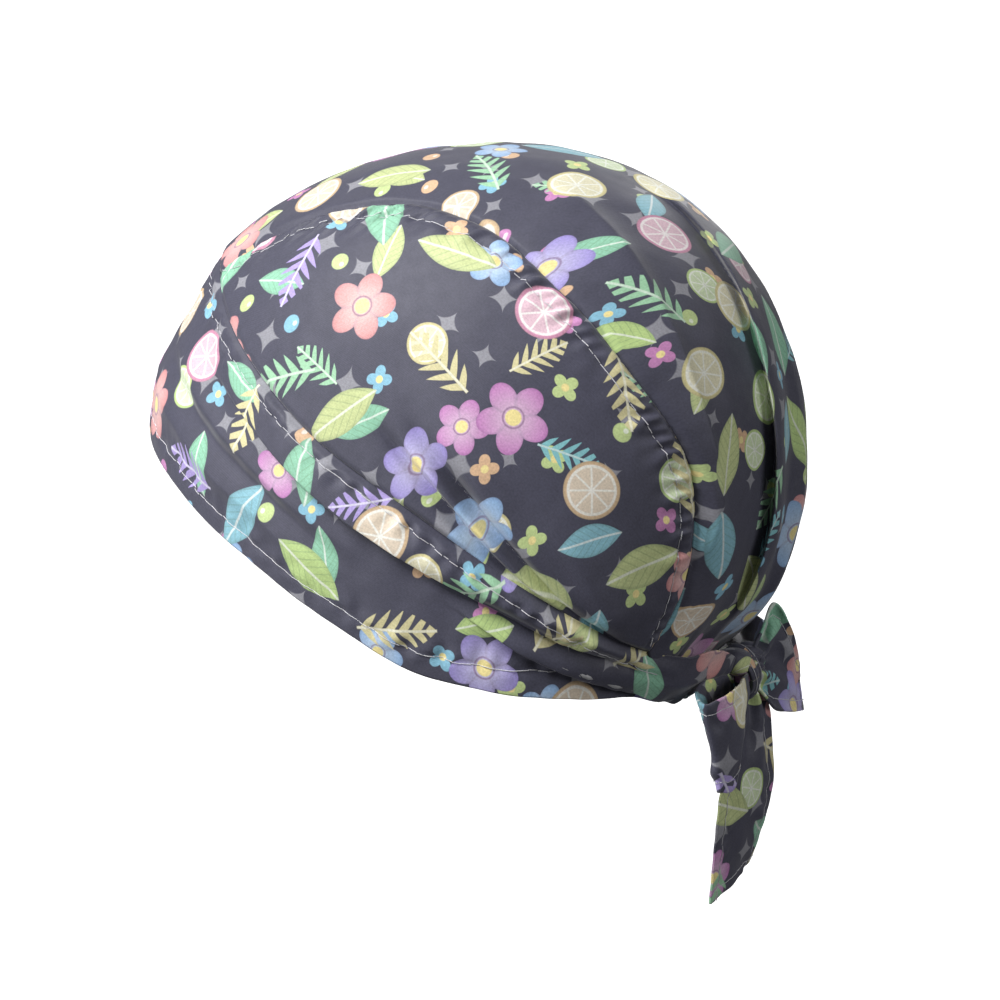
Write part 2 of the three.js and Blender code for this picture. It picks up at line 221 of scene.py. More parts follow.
class Fold(NamedTuple):
    """One fold along a panel; a tuck takes cloth in where it turns back under itself.

    begin and stop are places along the panel, start and end its places across it there. height is
    in mm out from the form. low and high are the reach of its flanks. tuck is in mm of cloth taken
    in: above 0 the side of lower places lies on top, and below 0 the side of higher places. power
    is that of its rounded crest: a low one is crisp.
    """

    begin: float
    stop: float
    start: float
    end: float
    height: float
    low: float
    high: float
    fade_in: float
    fade_out: float
    tuck: float = 0.0
    power: float = 2.0


class Drape(NamedTuple):
    """Where cloth lies: its place across in mm, its rise, and the cloth that tucks took in."""

    place: Array
    rise: Array
    taken: Array
    width: Array


@dataclass(frozen=True)
class FoldSet:
    """Folds of one panel. Tucks stand in the order of their places across."""

    folds: tuple[Fold, ...]
    turn_share: float = 0.66

    def growth(self, fold: Fold, along: Array) -> tuple[Array, Array]:
        """How far along a fold each place is, and the share of its height there.

        Args:
            fold: The fold.
            along: Places along the panel.

        Returns:
            Shares of the fold's run, and shares of its height.
        """
        run = (along - fold.begin) / (fold.stop - fold.begin)
        grown = smoothstep(run, 0.0, fold.fade_in)
        if fold.fade_out > 0:
            grown = grown * smoothstep(1.0 - run, 0.0, fold.fade_out)
        return np.clip(run, 0, 1), np.where((run > 0) & (run <= 1), grown, 0.0)

    def drape(self, along: Array, share: Array, first: float, span: Array) -> Drape:
        """Lays a panel's cloth over its folds.

        Args:
            along: Places along the panel.
            share: Shares of the cloth's width.
            first: Place of the low edge across, -1 or 0; the high edge is at 1.
            span: Millimetres for one unit across.

        Returns:
            The drape at each place.
        """
        grown = [self.growth(fold, along) for fold in self.folds]
        taken_all = sum(abs(f.tuck) * g for f, (_, g) in zip(self.folds, grown))
        width = (1.0 - first) * span + taken_all
        cloth = first * span + share * width
        taken, before, tucked_rise = 0.0 * cloth, 0.0 * cloth, 0.0 * cloth
        for fold, (run, grow) in zip(self.folds, grown):
            if fold.tuck == 0:
                continue
            take = abs(fold.tuck) * grow
            half = self.turn_share * abs(fold.tuck) / 2
            crease = lerp(fold.start, fold.end, run) * span + before + take / 2
            step = smoothstep(cloth, crease - half, crease + half)
            taken = taken + take * step
            before = before + take
            if fold.tuck > 0:
                away, reach, on_top = np.maximum(crease - half - cloth, 0), fold.low, 1 - step
            else:
                away, reach, on_top = np.maximum(cloth - crease - half, 0), fold.high, step
            tucked_rise = tucked_rise + fold.height * grow * on_top * np.exp(-((away / reach) ** 2))
        place = cloth - taken
        rise = tucked_rise
        for fold, (run, grow) in zip(self.folds, grown):
            if fold.tuck != 0:
                continue
            distance = place - lerp(fold.start, fold.end, run) * span
            reach = np.where(distance < 0, fold.low, fold.high)
            rise = rise + fold.height * grow * np.exp(-(np.abs(distance / reach) ** fold.power))
        return Drape(place, rise, taken, width)


CENTER_FOLDS = FoldSet((
    Fold(234, 290, 0, 0, -3.6, 48, 28, 0.55, 0),
    Fold(100, 290, 0, 0, -4.6, 36, 26, 0.45, 0),
    Fold(105, 232, 0.39, 0.95, 3.2, 4, 13, 0.3, 0.15, 0, 1.2),
    Fold(105, 275, -0.52, -0.9, 2.2, 11, 13, 0.4, 0.1),
    Fold(118, 267, -0.28, -0.42, 2.6, 3.6, 13, 0.4, 0, -7),
    Fold(150, 267, -0.14, -0.1, 3.0, 9, 3.4, 0.4, 0.32),
    Fold(112, 250, -0.02, 0.42, 4.4, 15, 3.2, 0.35, 0.2, 12),
    Fold(150, 262, 0.24, 0.52, -1.6, 5, 11, 0.5, 0.1),
    Fold(222, 267, 0.62, 0.55, -1.6, 6, 7, 0.8, 0),
    Fold(238, 267, 0.78, 0.74, -1.3, 2.6, 3, 0.7, 0, 0, 1.5),
    Fold(240, 267, 0.36, 0.34, 1.2, 3, 2.4, 0.7, 0, 0, 1.5),
))
SIDE_FOLDS = FoldSet((
    Fold(0.42, 0.94, 0.43, -0.03, 3.4, 3.6, 10, 0.35, 0.15, 0, 1.5),
    Fold(0.45, 0.94, 0.31, -0.04, -6.2, 2.5, 2.2, 0.35, 0.12, 0, 1.5),
    Fold(0.44, 0.9, 0.25, -0.05, 2.6, 2.2, 2.0, 0.35, 0.15, 0, 1.6),
    Fold(0.38, 0.84, 0.25, -0.06, -5.2, 2.3, 2.0, 0.4, 0.2, 0, 1.5),
    Fold(0.6, 0.98, 0.45, 0.08, 1.3, 3.6, 7, 0.5, 0.3, 0, 1.5),
    Fold(0.58, 0.96, 0.36, 0.04, -1.1, 3, 3.4, 0.5, 0.3, 0, 1.6),
))
BAND_FOLDS = FoldSet((
    Fold(-60, 60, 0.72, 0.72, -2.8, 13, 12, 0.4, 0.45),
    Fold(88, 172, 0.56, 0.06, 2.8, 3, 7, 0.4, 0.2, -5),
    Fold(24, 150, 0.76, 0.66, 3.0, 2.6, 10, 0.4, 0.25, -7),
    Fold(8, 84, 0.6, 0.5, 2.2, 3.4, 4.2, 0.4, 0.5, 0, 1.5),
    Fold(10, 78, 0.5, 0.4, -1.8, 3, 3, 0.4, 0.5, 0, 1.6),
    Fold(4, 74, 0.33, 0.28, 1.9, 3.6, 4.6, 0.4, 0.5, 0, 1.5),
    Fold(118, 176, 0.5, 0.62, 2.4, 3, 4.5, 0.5, 0, 0, 1.6),
    Fold(80, 152, 0.69, 0.6, -4.4, 6, 2.4, 0.4, 0.25, 0, 1.5),
    Fold(96, 160, 0.4, 0.04, -2.2, 4.4, 2.6, 0.35, 0.35, 0, 1.6),
))


@dataclass(frozen=True)
class Crumple:
    """Fine uneven creases, as a sum of waves from a fixed seed."""

    seed: int
    length: float
    height: float
    waves: int = 14
    spread: tuple[float, float] = (0.55, 1.7)

    def rise(self, flat: Array) -> Array:
        """Rise of the creases.

        Args:
            flat: Places on the flat cloth, in mm.

        Returns:
            Millimetres of rise at each place.
        """
        rng = np.random.default_rng(self.seed)
        total = np.zeros(flat.shape[:-1])
        for _ in range(self.waves):
            angle = rng.uniform(0, math.tau)
            pitch = self.length * rng.uniform(*self.spread)
            phase = rng.uniform(0, math.tau)
            run = flat[..., 0] * math.cos(angle) + flat[..., 1] * math.sin(angle)
            total += np.sin(math.tau * run / pitch + phase)
        return self.height * total / math.sqrt(self.waves / 2)


class Wave(NamedTuple):
    """Sine wave along a line: its height, its mm for each radian, and its phase."""

    height: float
    length: float
    phase: float = 0.0

    def at(self, along: Array) -> Array:
        """Values of the wave at places along the line."""
        return self.height * np.sin(along / self.length + self.phase)


@dataclass(frozen=True)
class SeamRelief:
    """How sewing shapes the cloth beside a seam: a ditch, a stitched groove and puckers, in mm."""

    ditch: float = 1.1
    ditch_reach: float = 1.3
    drag: float = 0.8
    drag_run: tuple[float, float] = (0.35, 0.7)
    groove: float = 0.4
    groove_reach: float = 1.1
    pucker: float = 0.32
    pucker_waves: int = 6
    pucker_pitch: float = 7.0
    pucker_spread: tuple[float, float] = (0.7, 1.9)
    pucker_lean: float = 0.9
    pucker_reach: float = 5.0
    pucker_sum: float = 1.7
    ripple: float = 0.55
    ripple_pitch: float = 4.4
    ripple_lean: float = 0.7
    ripple_start: tuple[float, float] = (0.5, 2.0)
    ripple_stop: tuple[float, float] = (-0.8, 2.6)
    ripple_sways: tuple[Wave, Wave] = (Wave(1.4, 17.0), Wave(1.1, 6.1, 1.0))
    ripple_swell: Wave = Wave(0.35, 11.0, 2.0)

    def sewn(self, distance: Array) -> Array:
        """Rise, below 0, beside the line where two pieces are sewn together."""
        return -self.ditch * np.exp(-((distance / self.ditch_reach) ** 2))

    def dragged(self, distance: Array, along: Array) -> Array:
        """Further rise, below 0, of the band's seam where the knot drags the cloth, by shares along."""
        return self.drag * smoothstep(along, *self.drag_run) * self.sewn(distance)

    def stitched(self, distance: Array, along: Array, seed: int) -> Array:
        """Groove and puckers of a line of topstitching.

        Args:
            distance: Signed mm from the line.
            along: Mm along the line.
            seed: Fixed seed of the uneven puckers.

        Returns:
            Millimetres of rise.
        """
        rng = np.random.default_rng(seed)
        groove = -self.groove * np.exp(-((distance / self.groove_reach) ** 2))
        uneven = np.zeros_like(along)
        for _ in range(self.pucker_waves):
            pitch = self.pucker_pitch * rng.uniform(*self.pucker_spread)
            lean = rng.uniform(-self.pucker_lean, self.pucker_lean)
            phase = rng.uniform(0, math.tau)
            uneven += np.sin(math.tau * (along + lean * distance) / pitch + phase)
        near = np.exp(-((distance / self.pucker_reach) ** 2))
        return groove + self.pucker * near * uneven / self.pucker_sum

    def rippled(self, distance: Array, line: float, along: Array) -> Array:
        """Slanted ripples between a seam and the topstitching beside it.

        Args:
            distance: Mm from the seam.
            line: Mm from the seam to the topstitching.
            along: Mm along the seam.

        Returns:
            Millimetres of rise.
        """
        begun = smoothstep(distance, *self.ripple_start)
        ended = smoothstep(distance - line, *self.ripple_stop)
        sway = sum(wave.at(along) for wave in self.ripple_sways)
        strength = 1 - self.ripple_swell.height + self.ripple_swell.at(along)
        turn = math.tau * (along + self.ripple_lean * distance) / self.ripple_pitch
        return self.ripple * begun * (1 - ended) * strength * np.sin(turn + sway)


SEWING = SeamRelief()
HEAD = HeadForm()


class FlatPattern:
    """Flat cut of a curved sheet, found by relaxing the lengths of its grid in a plane."""

    def __init__(self, points: Array, rounds: int = 500, stride: float = 1.6) -> None:
        """Relaxes a grid.

        Args:
            points: Grid of points on the sheet, in mm.
            rounds: Rounds of relaxing.
            stride: Times the mean push that each round takes.
        """
        rows, columns = points.shape[:2]
        middle = columns // 2
        run = np.linalg.norm(np.diff(points[:, middle], axis=0), axis=-1)
        across = np.linalg.norm(np.diff(points, axis=1), axis=-1)
        flat = np.zeros((rows, columns, 2))
        flat[..., 0] = np.concatenate([[0], np.cumsum(run)])[:, None]
        flat[:, 1:, 1] = np.cumsum(across, axis=1)
        flat[..., 1] -= flat[:, middle:middle + 1, 1].copy()
        links = [
            ((slice(0, -1), slice(None)), (slice(1, None), slice(None))),
            ((slice(None), slice(0, -1)), (slice(None), slice(1, None))),
            ((slice(0, -1), slice(0, -1)), (slice(1, None), slice(1, None))),
            ((slice(0, -1), slice(1, None)), (slice(1, None), slice(0, -1))),
        ]
        lengths = [np.linalg.norm(points[b] - points[a], axis=-1) for a, b in links]
        count = np.zeros((rows, columns, 1))
        for a, b in links:
            count[a] += 1
            count[b] += 1
        for _ in range(rounds):
            move = np.zeros_like(flat)
            for (a, b), length in zip(links, lengths):
                gap = flat[b] - flat[a]
                now = np.maximum(np.linalg.norm(gap, axis=-1), TINY)
                push = gap * ((now - length) / now * 0.5)[..., None]
                move[a] += push
                move[b] -= push
            flat += stride * move / count
        self.flat = flat

    def read(self, along: Array, across: Array) -> Array:
        """Flat places between those of the grid.

        Args:
            along: Shares of the grid's first way.
            across: Shares of its second way.

        Returns:
            Flat places in mm.
        """
        rows, columns = self.flat.shape[:2]
        i = np.clip(along, 0, 1) * (rows - 1)
        j = np.clip(across, 0, 1) * (columns - 1)
        low_i = np.minimum(i.astype(int), rows - 2)
        low_j = np.minimum(j.astype(int), columns - 2)
        s, t = (i - low_i)[..., None], (j - low_j)[..., None]
        near = lerp(self.flat[low_i, low_j], self.flat[low_i, low_j + 1], t)
        far = lerp(self.flat[low_i + 1, low_j], self.flat[low_i + 1, low_j + 1], t)
        return lerp(near, far, s)


class Cut(NamedTuple):
    """Size of a flat cut in metres, and its area."""

    width: float
    length: float
    area: float


def cut_size(flat: Array) -> Cut:
    """Size and area of a flat cut.

    Args:
        flat: Grid of flat places, in mm.

    Returns:
        The size of its box and its area, in metres.
    """
    spread = flat.reshape(-1, 2)
    size = (spread.max(0) - spread.min(0)) * MM
    one = flat[1:, 1:] - flat[:-1, :-1]
    two = flat[1:, :-1] - flat[:-1, 1:]
    area = np.abs(one[..., 0] * two[..., 1] - one[..., 1] * two[..., 0]).sum() / 2 * MM * MM
    return Cut(float(size[1]), float(size[0]), float(area))


def grid_normals(points: Array) -> Array:
    """Unit normals of a grid of points, on the side of its first way crossed with its second."""
    return unit(np.cross(np.gradient(points, axis=0), np.gradient(points, axis=1)))


def mesh_object(name: str, points: Array, faces: Array, flat: Array, marks: Array) -> bpy.types.Object:
    """Smooth mesh object of four-sided faces with a UV map in metres.

    Args:
        name: Name of the object.
        points: Points in mm.
        faces: Four indices for each face.
        flat: Flat place of each point, in mm.
        marks: Material index of each face.

    Returns:
        The object, linked to the scene.
    """
    mesh = bpy.data.meshes.new(name)
    mesh.vertices.add(len(points))
    mesh.vertices.foreach_set("co", (points * MM).astype(np.float32).ravel())
    mesh.loops.add(faces.size)
    mesh.loops.foreach_set("vertex_index", faces.astype(np.int32).ravel())
    mesh.polygons.add(len(faces))
    mesh.polygons.foreach_set("loop_start", np.arange(0, faces.size, 4, dtype=np.int32))
    mesh.polygons.foreach_set("material_index", marks.astype(np.int32))
    mesh.polygons.foreach_set("use_smooth", np.ones(len(faces), bool))
    layer = mesh.uv_layers.new(name="cut")
    layer.data.foreach_set("uv", (flat[faces.ravel()] * MM).astype(np.float32).ravel())
    mesh.update(calc_edges=True)
    mesh.validate()
    made = bpy.data.objects.new(name, mesh)
    bpy.context.scene.collection.objects.link(made)
    return made


def closed_sheet(name: str, outer: Array, inner: Array, flat: Array) -> bpy.types.Object:
    """Closed cloth between two like grids; faces of the inner grid take the second material.

    Args:
        name: Name of the object.
        outer: Grid of points on the cloth's right side, in mm.
        inner: Grid of points on its reverse.
        flat: Grid of flat places, in mm.

    Returns:
        The object, with its faces pointing out.
    """
    rows, columns = outer.shape[:2]
    layer = rows * columns
    points = np.concatenate([outer.reshape(-1, 3), inner.reshape(-1, 3)])
    index = np.arange(layer).reshape(rows, columns)
    top = np.stack([index[:-1, :-1], index[:-1, 1:], index[1:, 1:], index[1:, :-1]], -1).reshape(-1, 4)
    ring = np.concatenate([index[0, :-1], index[:-1, -1], index[-1, :0:-1], index[:0:-1, 0]])
    after = np.roll(ring, -1)
    walls = np.stack([after, ring, ring + layer, after + layer], -1)
    faces = np.concatenate([top, walls, top[:, ::-1] + layer])
    marks = np.concatenate([np.zeros(len(top) + len(walls)), np.ones(len(top))])
    corner = points[faces]
    volume = np.einsum("ij,ij->i", corner[:, 0], np.cross(corner[:, 1], corner[:, 2])).sum()
    volume += np.einsum("ij,ij->i", corner[:, 0], np.cross(corner[:, 2], corner[:, 3])).sum()
    if volume < 0:
        faces = faces[:, ::-1]
    spread = np.tile(flat.reshape(-1, 2), (2, 1))
    return mesh_object(name, points, faces, spread, marks)


Number = Union["Value", float, int]


class Value:
    """One output in a node tree, with arithmetic on numbers that adds Math nodes."""

    def __init__(self, tree: "NodeTree", socket: bpy.types.NodeSocket) -> None:
        """Wraps an output socket of the tree."""
        self.tree = tree
        self.socket = socket

    def math(self, operation: str, other: Number = 0.0, turned: bool = False) -> "Value":
        """Result of a Math node on this value and another, which comes first where turned is set."""
        pair = (other, self) if turned else (self, other)
        return self.tree.value("ShaderNodeMath", {"operation": operation}, {0: pair[0], 1: pair[1]})

    def __add__(self, other: Number) -> "Value":
        """Sum."""
        return self.math("ADD", other)

    __radd__ = __add__

    def __sub__(self, other: Number) -> "Value":
        """Difference."""
        return self.math("SUBTRACT", other)

    def __rsub__(self, other: Number) -> "Value":
        """Difference with this value taken away."""
        return self.math("SUBTRACT", other, turned=True)

    def __mul__(self, other: Number) -> "Value":
        """Product."""
        return self.math("MULTIPLY", other)

    __rmul__ = __mul__

    def __truediv__(self, other: Number) -> "Value":
        """Quotient."""
        return self.math("DIVIDE", other)

    def __pow__(self, other: Number) -> "Value":
        """Power."""
        return self.math("POWER", other)

    def __abs__(self) -> "Value":
        """Size without sign."""
        return self.math("ABSOLUTE")

    def __lt__(self, other: Number) -> "Value":
        """1 where this value is less, or else 0."""
        return self.math("LESS_THAN", other)

    def __gt__(self, other: Number) -> "Value":
        """1 where this value is greater, or else 0."""
        return self.math("GREATER_THAN", other)

    def floor(self) -> "Value":
        """Whole number below."""
        return self.math("FLOOR")

    def fraction(self) -> "Value":
        """Part above the whole number below."""
        return self.math("FRACT")

    def root(self) -> "Value":
        """Square root."""
        return self.math("SQRT")

    def sine(self) -> "Value":
        """Sine of radians."""
        return self.math("SINE")

    def cosine(self) -> "Value":
        """Cosine of radians."""
        return self.math("COSINE")

    def least(self, other: Number) -> "Value":
        """Smaller of two."""
        return self.math("MINIMUM", other)

    def most(self, other: Number) -> "Value":
        """Larger of two."""
        return self.math("MAXIMUM", other)

    def held(self) -> "Value":
        """Value held between 0 and 1."""
        return self.tree.value("ShaderNodeClamp", {}, {"Value": self})


class NodeTree:
    """Tree that is built by adding nodes and expressions."""

    def __init__(self, tree: bpy.types.NodeTree) -> None:
        """Takes the tree that gets the nodes."""
        self.nodes = tree.nodes
        self.links = tree.links

    def node(self, kind: str, settings: dict[str, Any], inputs: dict[Any, Any]) -> bpy.types.Node:
        """Adds a node.

        Args:
            kind: Type of the node.
            settings: Settings made first; "stops" are a ramp's places and colours.
            inputs: Values or links of its sockets, by name or number.

        Returns:
            The node.
        """
        made = self.nodes.new(kind)
        for name, setting in settings.items():
            if name == "stops":
                ramp = made.color_ramp
                ramp.interpolation = "CONSTANT"
                while len(ramp.elements) < len(setting):
                    ramp.elements.new(1.0)
                for element, (place, tint) in zip(ramp.elements, setting):
                    element.position = place
                    element.color = tint
            else:
                setattr(made, name, setting)
        for name, value in inputs.items():
            socket = made.inputs[name]
            if isinstance(value, Value):
                self.links.new(value.socket, socket)
            else:
                socket.default_value = value
        return made

    def value(self, kind: str, settings: dict[str, Any], inputs: dict[Any, Any], output: Any = 0) -> Value:
        """Adds a node and gives one of its outputs."""
        return Value(self, self.node(kind, settings, inputs).outputs[output])


class ShaderTree(NodeTree):
    """Node tree of one material."""

    def __init__(self, name: str) -> None:
        """Makes an empty material.

        Args:
            name: Name of the material.
        """
        self.material = bpy.data.materials.new(name)
        self.material.use_nodes = True
        super().__init__(self.material.node_tree)
        self.nodes.clear()

    def mix(self, share: Number, below: Any, above: Any, blend: str = "MIX") -> Value:
        """Colour with a share of a colour above mixed into the one below, by a blend type."""
        settings = {"data_type": "RGBA", "blend_type": blend}
        return self.value("ShaderNodeMix", settings, {0: share, 6: below, 7: above}, 2)

    def noise(self, place: Value, scale: float, detail: float) -> Value:
        """Soft noise from 0 to 1."""
        return self.value("ShaderNodeTexNoise", {}, {"Vector": place, "Scale": scale, "Detail": detail})

    def bump(self, height: Value, strength: float, distance: float) -> Value:
        """Normals of a rough surface."""
        inputs = {"Strength": strength, "Distance": distance, "Height": height}
        return self.value("ShaderNodeBump", {}, inputs)

    def surface(self, inputs: dict[str, Any]) -> bpy.types.Material:
        """Gives the material a Principled shader.

        Args:
            inputs: Values or links of the shader's sockets.

        Returns:
            The finished material.
        """
        shader = self.node("ShaderNodeBsdfPrincipled", {}, inputs)
        output = self.node("ShaderNodeOutputMaterial", {}, {})
        self.links.new(shader.outputs[0], output.inputs["Surface"])
        return self.material


Colour = tuple[float, float, float, float]


def linear(part: int) -> float:
    """Linear share of one part of a screen colour."""
    share = part / 255
    return share / 12.92 if share <= 0.04045 else ((share + 0.055) / 1.055) ** 2.4


def colour(red: int, green: int, blue: int) -> Colour:
    """Linear colour of a screen colour, whose parts go from 0 to 255."""
    return (linear(red), linear(green), linear(blue), 1.0)


LEAF_COLOURS = (
    colour(178, 202, 130), colour(138, 192, 162), colour(192, 202, 142), colour(132, 182, 196),
)
BLOSSOM_COLOURS = (
    colour(188, 122, 180), colour(152, 140, 205), colour(206, 140, 138), colour(136, 172, 212),
)
SLICE_COLOURS = (
    colour(182, 206, 136), colour(210, 200, 146), colour(204, 176, 140), colour(198, 136, 164),
)
SPRIG_COLOURS = (
    colour(128, 188, 194), colour(152, 198, 160), colour(166, 150, 206), colour(206, 198, 150),
)
SMALL_COLOURS = (
    colour(210, 174, 138), colour(190, 128, 176), colour(130, 182, 204), colour(188, 206, 140),
)
SPARKLE_GREY = colour(146, 146, 152)
PALE = colour(236, 238, 232)
CORE = colour(236, 220, 150)


class Place(NamedTuple):
    """Local place in one motif's cell, in mm, and the cell's random values."""

    x: Value
    y: Value
    pick: Value
    shade: Value
    size: Value

    def away(self) -> Value:
        """Distance from the motif's middle."""
        return (self.x * self.x + self.y * self.y).root()

    def angle(self) -> Value:
        """Angle about the motif's middle, in radians."""
        return self.y.math("ARCTAN2", self.x)

    def stripe(self, lean: float, pitch: float) -> Value:
        """Distance along a stem from the nearest of many lines that lean from it to both sides."""
        return abs(((self.x - abs(self.y) * lean) / pitch).fraction() - 0.5) * pitch


class Paint(NamedTuple):
    """Cover and colour of a motif."""

    cover: Value
    tint: Any


@dataclass(frozen=True)
class Motif:
    """One figure of the print, in mm, with its colours and the darker rim inside its outline."""

    colours: tuple[Colour, ...] = SMALL_COLOURS
    edge: float = 0.3
    rim: float = 1.0
    rim_share: float = 0.25
    rim_tint: Colour = colour(88, 88, 88)

    def paint(self, tree: ShaderTree, at: Place) -> Paint:
        """Cover and colour at a place in the motif's cell."""
        raise NotImplementedError

    def cover(self, distance: Value) -> Value:
        """Soft-edged cover where a distance is below 0."""
        return (0.5 - distance / self.edge).held()

    def tint(self, tree: ShaderTree, at: Place) -> Value:
        """One of the motif's colours, by the cell's random shade."""
        stops = [(k / len(self.colours), tint) for k, tint in enumerate(self.colours)]
        return tree.value("ShaderNodeValToRGB", {"stops": stops}, {0: at.shade})

    def rimmed(self, tree: ShaderTree, outside: Value, tint: Value) -> Paint:
        """Paint inside an outline, with the rim."""
        rim = (1 + outside / self.rim).held()
        return Paint(self.cover(outside), tree.mix(rim * self.rim_share, tint, self.rim_tint))


@dataclass(frozen=True)
class Leaf(Motif):
    """Pointed leaf with a pale midrib and side veins."""

    colours: tuple[Colour, ...] = LEAF_COLOURS
    rim: float = 1.3
    rim_share: float = 0.28
    rim_tint: Colour = colour(70, 96, 74)
    half: float = 13.6
    wide: float = 6.2
    rib_half: float = 0.4
    rib_share: float = 0.65
    vein_half: float = 0.28
    vein_lean: float = 1.1
    vein_pitch: float = 3.4
    vein_share: float = 0.3
    vein_tint: Colour = colour(86, 120, 84)

    def paint(self, tree: ShaderTree, at: Place) -> Paint:
        """Cover and colour at a place in the leaf's cell.

        Args:
            tree: Tree that takes the nodes.
            at: The place.

        Returns:
            The paint.
        """
        side = abs(at.y)
        lens = side - self.wide * (1 - (at.x / self.half) ** 2)
        vein = self.cover(at.stripe(self.vein_lean, self.vein_pitch) - self.vein_half)
        rib = self.cover(side - self.rib_half)
        tint = tree.mix(vein * self.vein_share, self.tint(tree, at), self.vein_tint)
        return self.rimmed(tree, lens, tree.mix(rib * self.rib_share, tint, PALE))


@dataclass(frozen=True)
class Blossom(Motif):
    """Five-petalled flower with creases between its petals and a ringed core."""

    colours: tuple[Colour, ...] = BLOSSOM_COLOURS
    rim: float = 1.1
    rim_share: float = 0.22
    rim_tint: Colour = colour(88, 66, 104)
    petals: int = 5
    inner: float = 7.0
    petal: float = 4.4
    core: float = 2.5
    crease_start: float = 3.0
    crease_narrow: float = 2.6
    crease_share: float = 0.35
    crease_tint: Colour = colour(92, 64, 112)
    glow_share: float = 0.45
    ring: float = 3.2
    ring_half: float = 0.3
    ring_share: float = 0.6
    ring_tint: Colour = colour(120, 82, 120)

    def paint(self, tree: ShaderTree, at: Place) -> Paint:
        """Cover and colour at a place in the blossom's cell.

        Args:
            tree: Tree that takes the nodes.
            at: The place.

        Returns:
            The paint.
        """
        away = at.away()
        lobe = abs((at.angle() * (self.petals / 2)).cosine())
        crease = (1 - lobe * self.crease_narrow).held() * (away > self.crease_start)
        glow = (1 - away / (self.inner + self.petal)).held()
        ring = self.cover(abs(away - self.ring) - self.ring_half)
        tint = tree.mix(crease * self.crease_share, self.tint(tree, at), self.crease_tint)
        tint = tree.mix(glow * self.glow_share, tint, PALE)
        tint = tree.mix(ring * self.ring_share, tint, self.ring_tint)
        tint = tree.mix(self.cover(away - self.core), tint, CORE)
        return self.rimmed(tree, away - self.inner - self.petal * lobe, tint)


@dataclass(frozen=True)
class FruitSlice(Motif):
    """Round slice of fruit with a rind, a pale ring of pith and walls between its segments."""

    colours: tuple[Colour, ...] = SLICE_COLOURS
    rim: float = 0.9
    rim_tint: Colour = colour(110, 104, 70)
    segments: int = 8
    reach: float = 8.8
    flesh: float = 0.8
    flesh_share: float = 0.35
    pith: float = 0.83
    pith_half: float = 0.42
    wall_half: float = 0.3
    wall_share: float = 0.8

    def paint(self, tree: ShaderTree, at: Place) -> Paint:
        """Cover and colour at a place in the slice's cell.

        Args:
            tree: Tree that takes the nodes.
            at: The place.

        Returns:
            The paint.
        """
        away = at.away()
        segment = math.tau / self.segments
        spoke = abs((at.angle() / segment).fraction() - 0.5) * away * segment
        inside = away < self.reach * self.flesh
        pith = self.cover(abs(away - self.reach * self.pith) - self.pith_half)
        wall = self.cover(spoke - self.wall_half) * inside
        tint = tree.mix(inside * self.flesh_share, self.tint(tree, at), PALE)
        tint = tree.mix(pith.most(wall) * self.wall_share, tint, PALE)
        return self.rimmed(tree, away - self.reach, tint)


@dataclass(frozen=True)
class Sprig(Motif):
    """Stem with paired leaflets."""

    colours: tuple[Colour, ...] = SPRIG_COLOURS
    half: float = 13.4
    wide: float = 6.6
    leaflet_half: float = 1.5
    leaflet_lean: float = 0.8
    leaflet_pitch: float = 4.4
    stem_half: float = 0.45
    shine_half: float = 0.4
    shine_share: float = 0.5

    def paint(self, tree: ShaderTree, at: Place) -> Paint:
        """Cover and colour at a place in the sprig's cell.

        Args:
            tree: Tree that takes the nodes.
            at: The place.

        Returns:
            The paint.
        """
        side = abs(at.y)
        reach = self.wide * (1 - (at.x / self.half) ** 2)
        taper = self.leaflet_half * (1 - (side / self.wide) ** 2)
        leaflet = at.stripe(self.leaflet_lean, self.leaflet_pitch) - taper
        stem = (side - self.stem_half).most(abs(at.x) - self.half)
        shine = self.cover(side - self.shine_half)
        tint = tree.mix(shine * self.shine_share, self.tint(tree, at), PALE)
        return Paint(self.cover(leaflet.most(side - reach).least(stem)), tint)


@dataclass(frozen=True)
class SmallFlower(Motif):
    """Small flower of four petals."""

    petals: int = 4
    inner: float = 2.3
    petal: float = 2.1
    core: float = 1.2

    def paint(self, tree: ShaderTree, at: Place) -> Paint:
        """Cover and colour at a place in the flower's cell.

        Args:
            tree: Tree that takes the nodes.
            at: The place.

        Returns:
            The paint.
        """
        away = at.away()
        lobe = abs((at.angle() * (self.petals / 2)).cosine())
        tint = tree.mix(self.cover(away - self.core), self.tint(tree, at), CORE)
        return Paint(self.cover(away - self.inner - self.petal * lobe), tint)


@dataclass(frozen=True)
class Berry(Motif):
    """Round berry with a shine."""

    reach: float = 2.9
    shine_place: float = 0.9
    shine_reach: float = 0.8
    shine_share: float = 0.7

    def paint(self, tree: ShaderTree, at: Place) -> Paint:
        """Cover and colour at a place in the berry's cell.

        Args:
            tree: Tree that takes the nodes.
            at: The place.

        Returns:
            The paint.
        """
        shine_away = ((at.x - self.shine_place) ** 2 + (at.y - self.shine_place) ** 2).root()
        shine = self.cover(shine_away - self.shine_reach)
        tint = tree.mix(shine * self.shine_share, self.tint(tree, at), PALE)
        return Paint(self.cover(at.away() - self.reach), tint)


@dataclass(frozen=True)
class Sparkle(Motif):
    """Grey sparkle with four points."""

    least: float = 3.4
    spread: float = 4.0
    power: float = 0.6
    sharp: float = 9.0
    share: float = 0.85

    def paint(self, tree: ShaderTree, at: Place) -> Paint:
        """Cover and colour at a place in the sparkle's cell.

        Args:
            tree: Tree that takes the nodes.
            at: The place.

        Returns:
            The paint.
        """
        reach = self.least + at.size * self.spread
        star = (abs(at.x) / reach) ** self.power + (abs(at.y) / reach) ** self.power
        return Paint(((1 - star) * self.sharp).held() * self.share, SPARKLE_GREY)


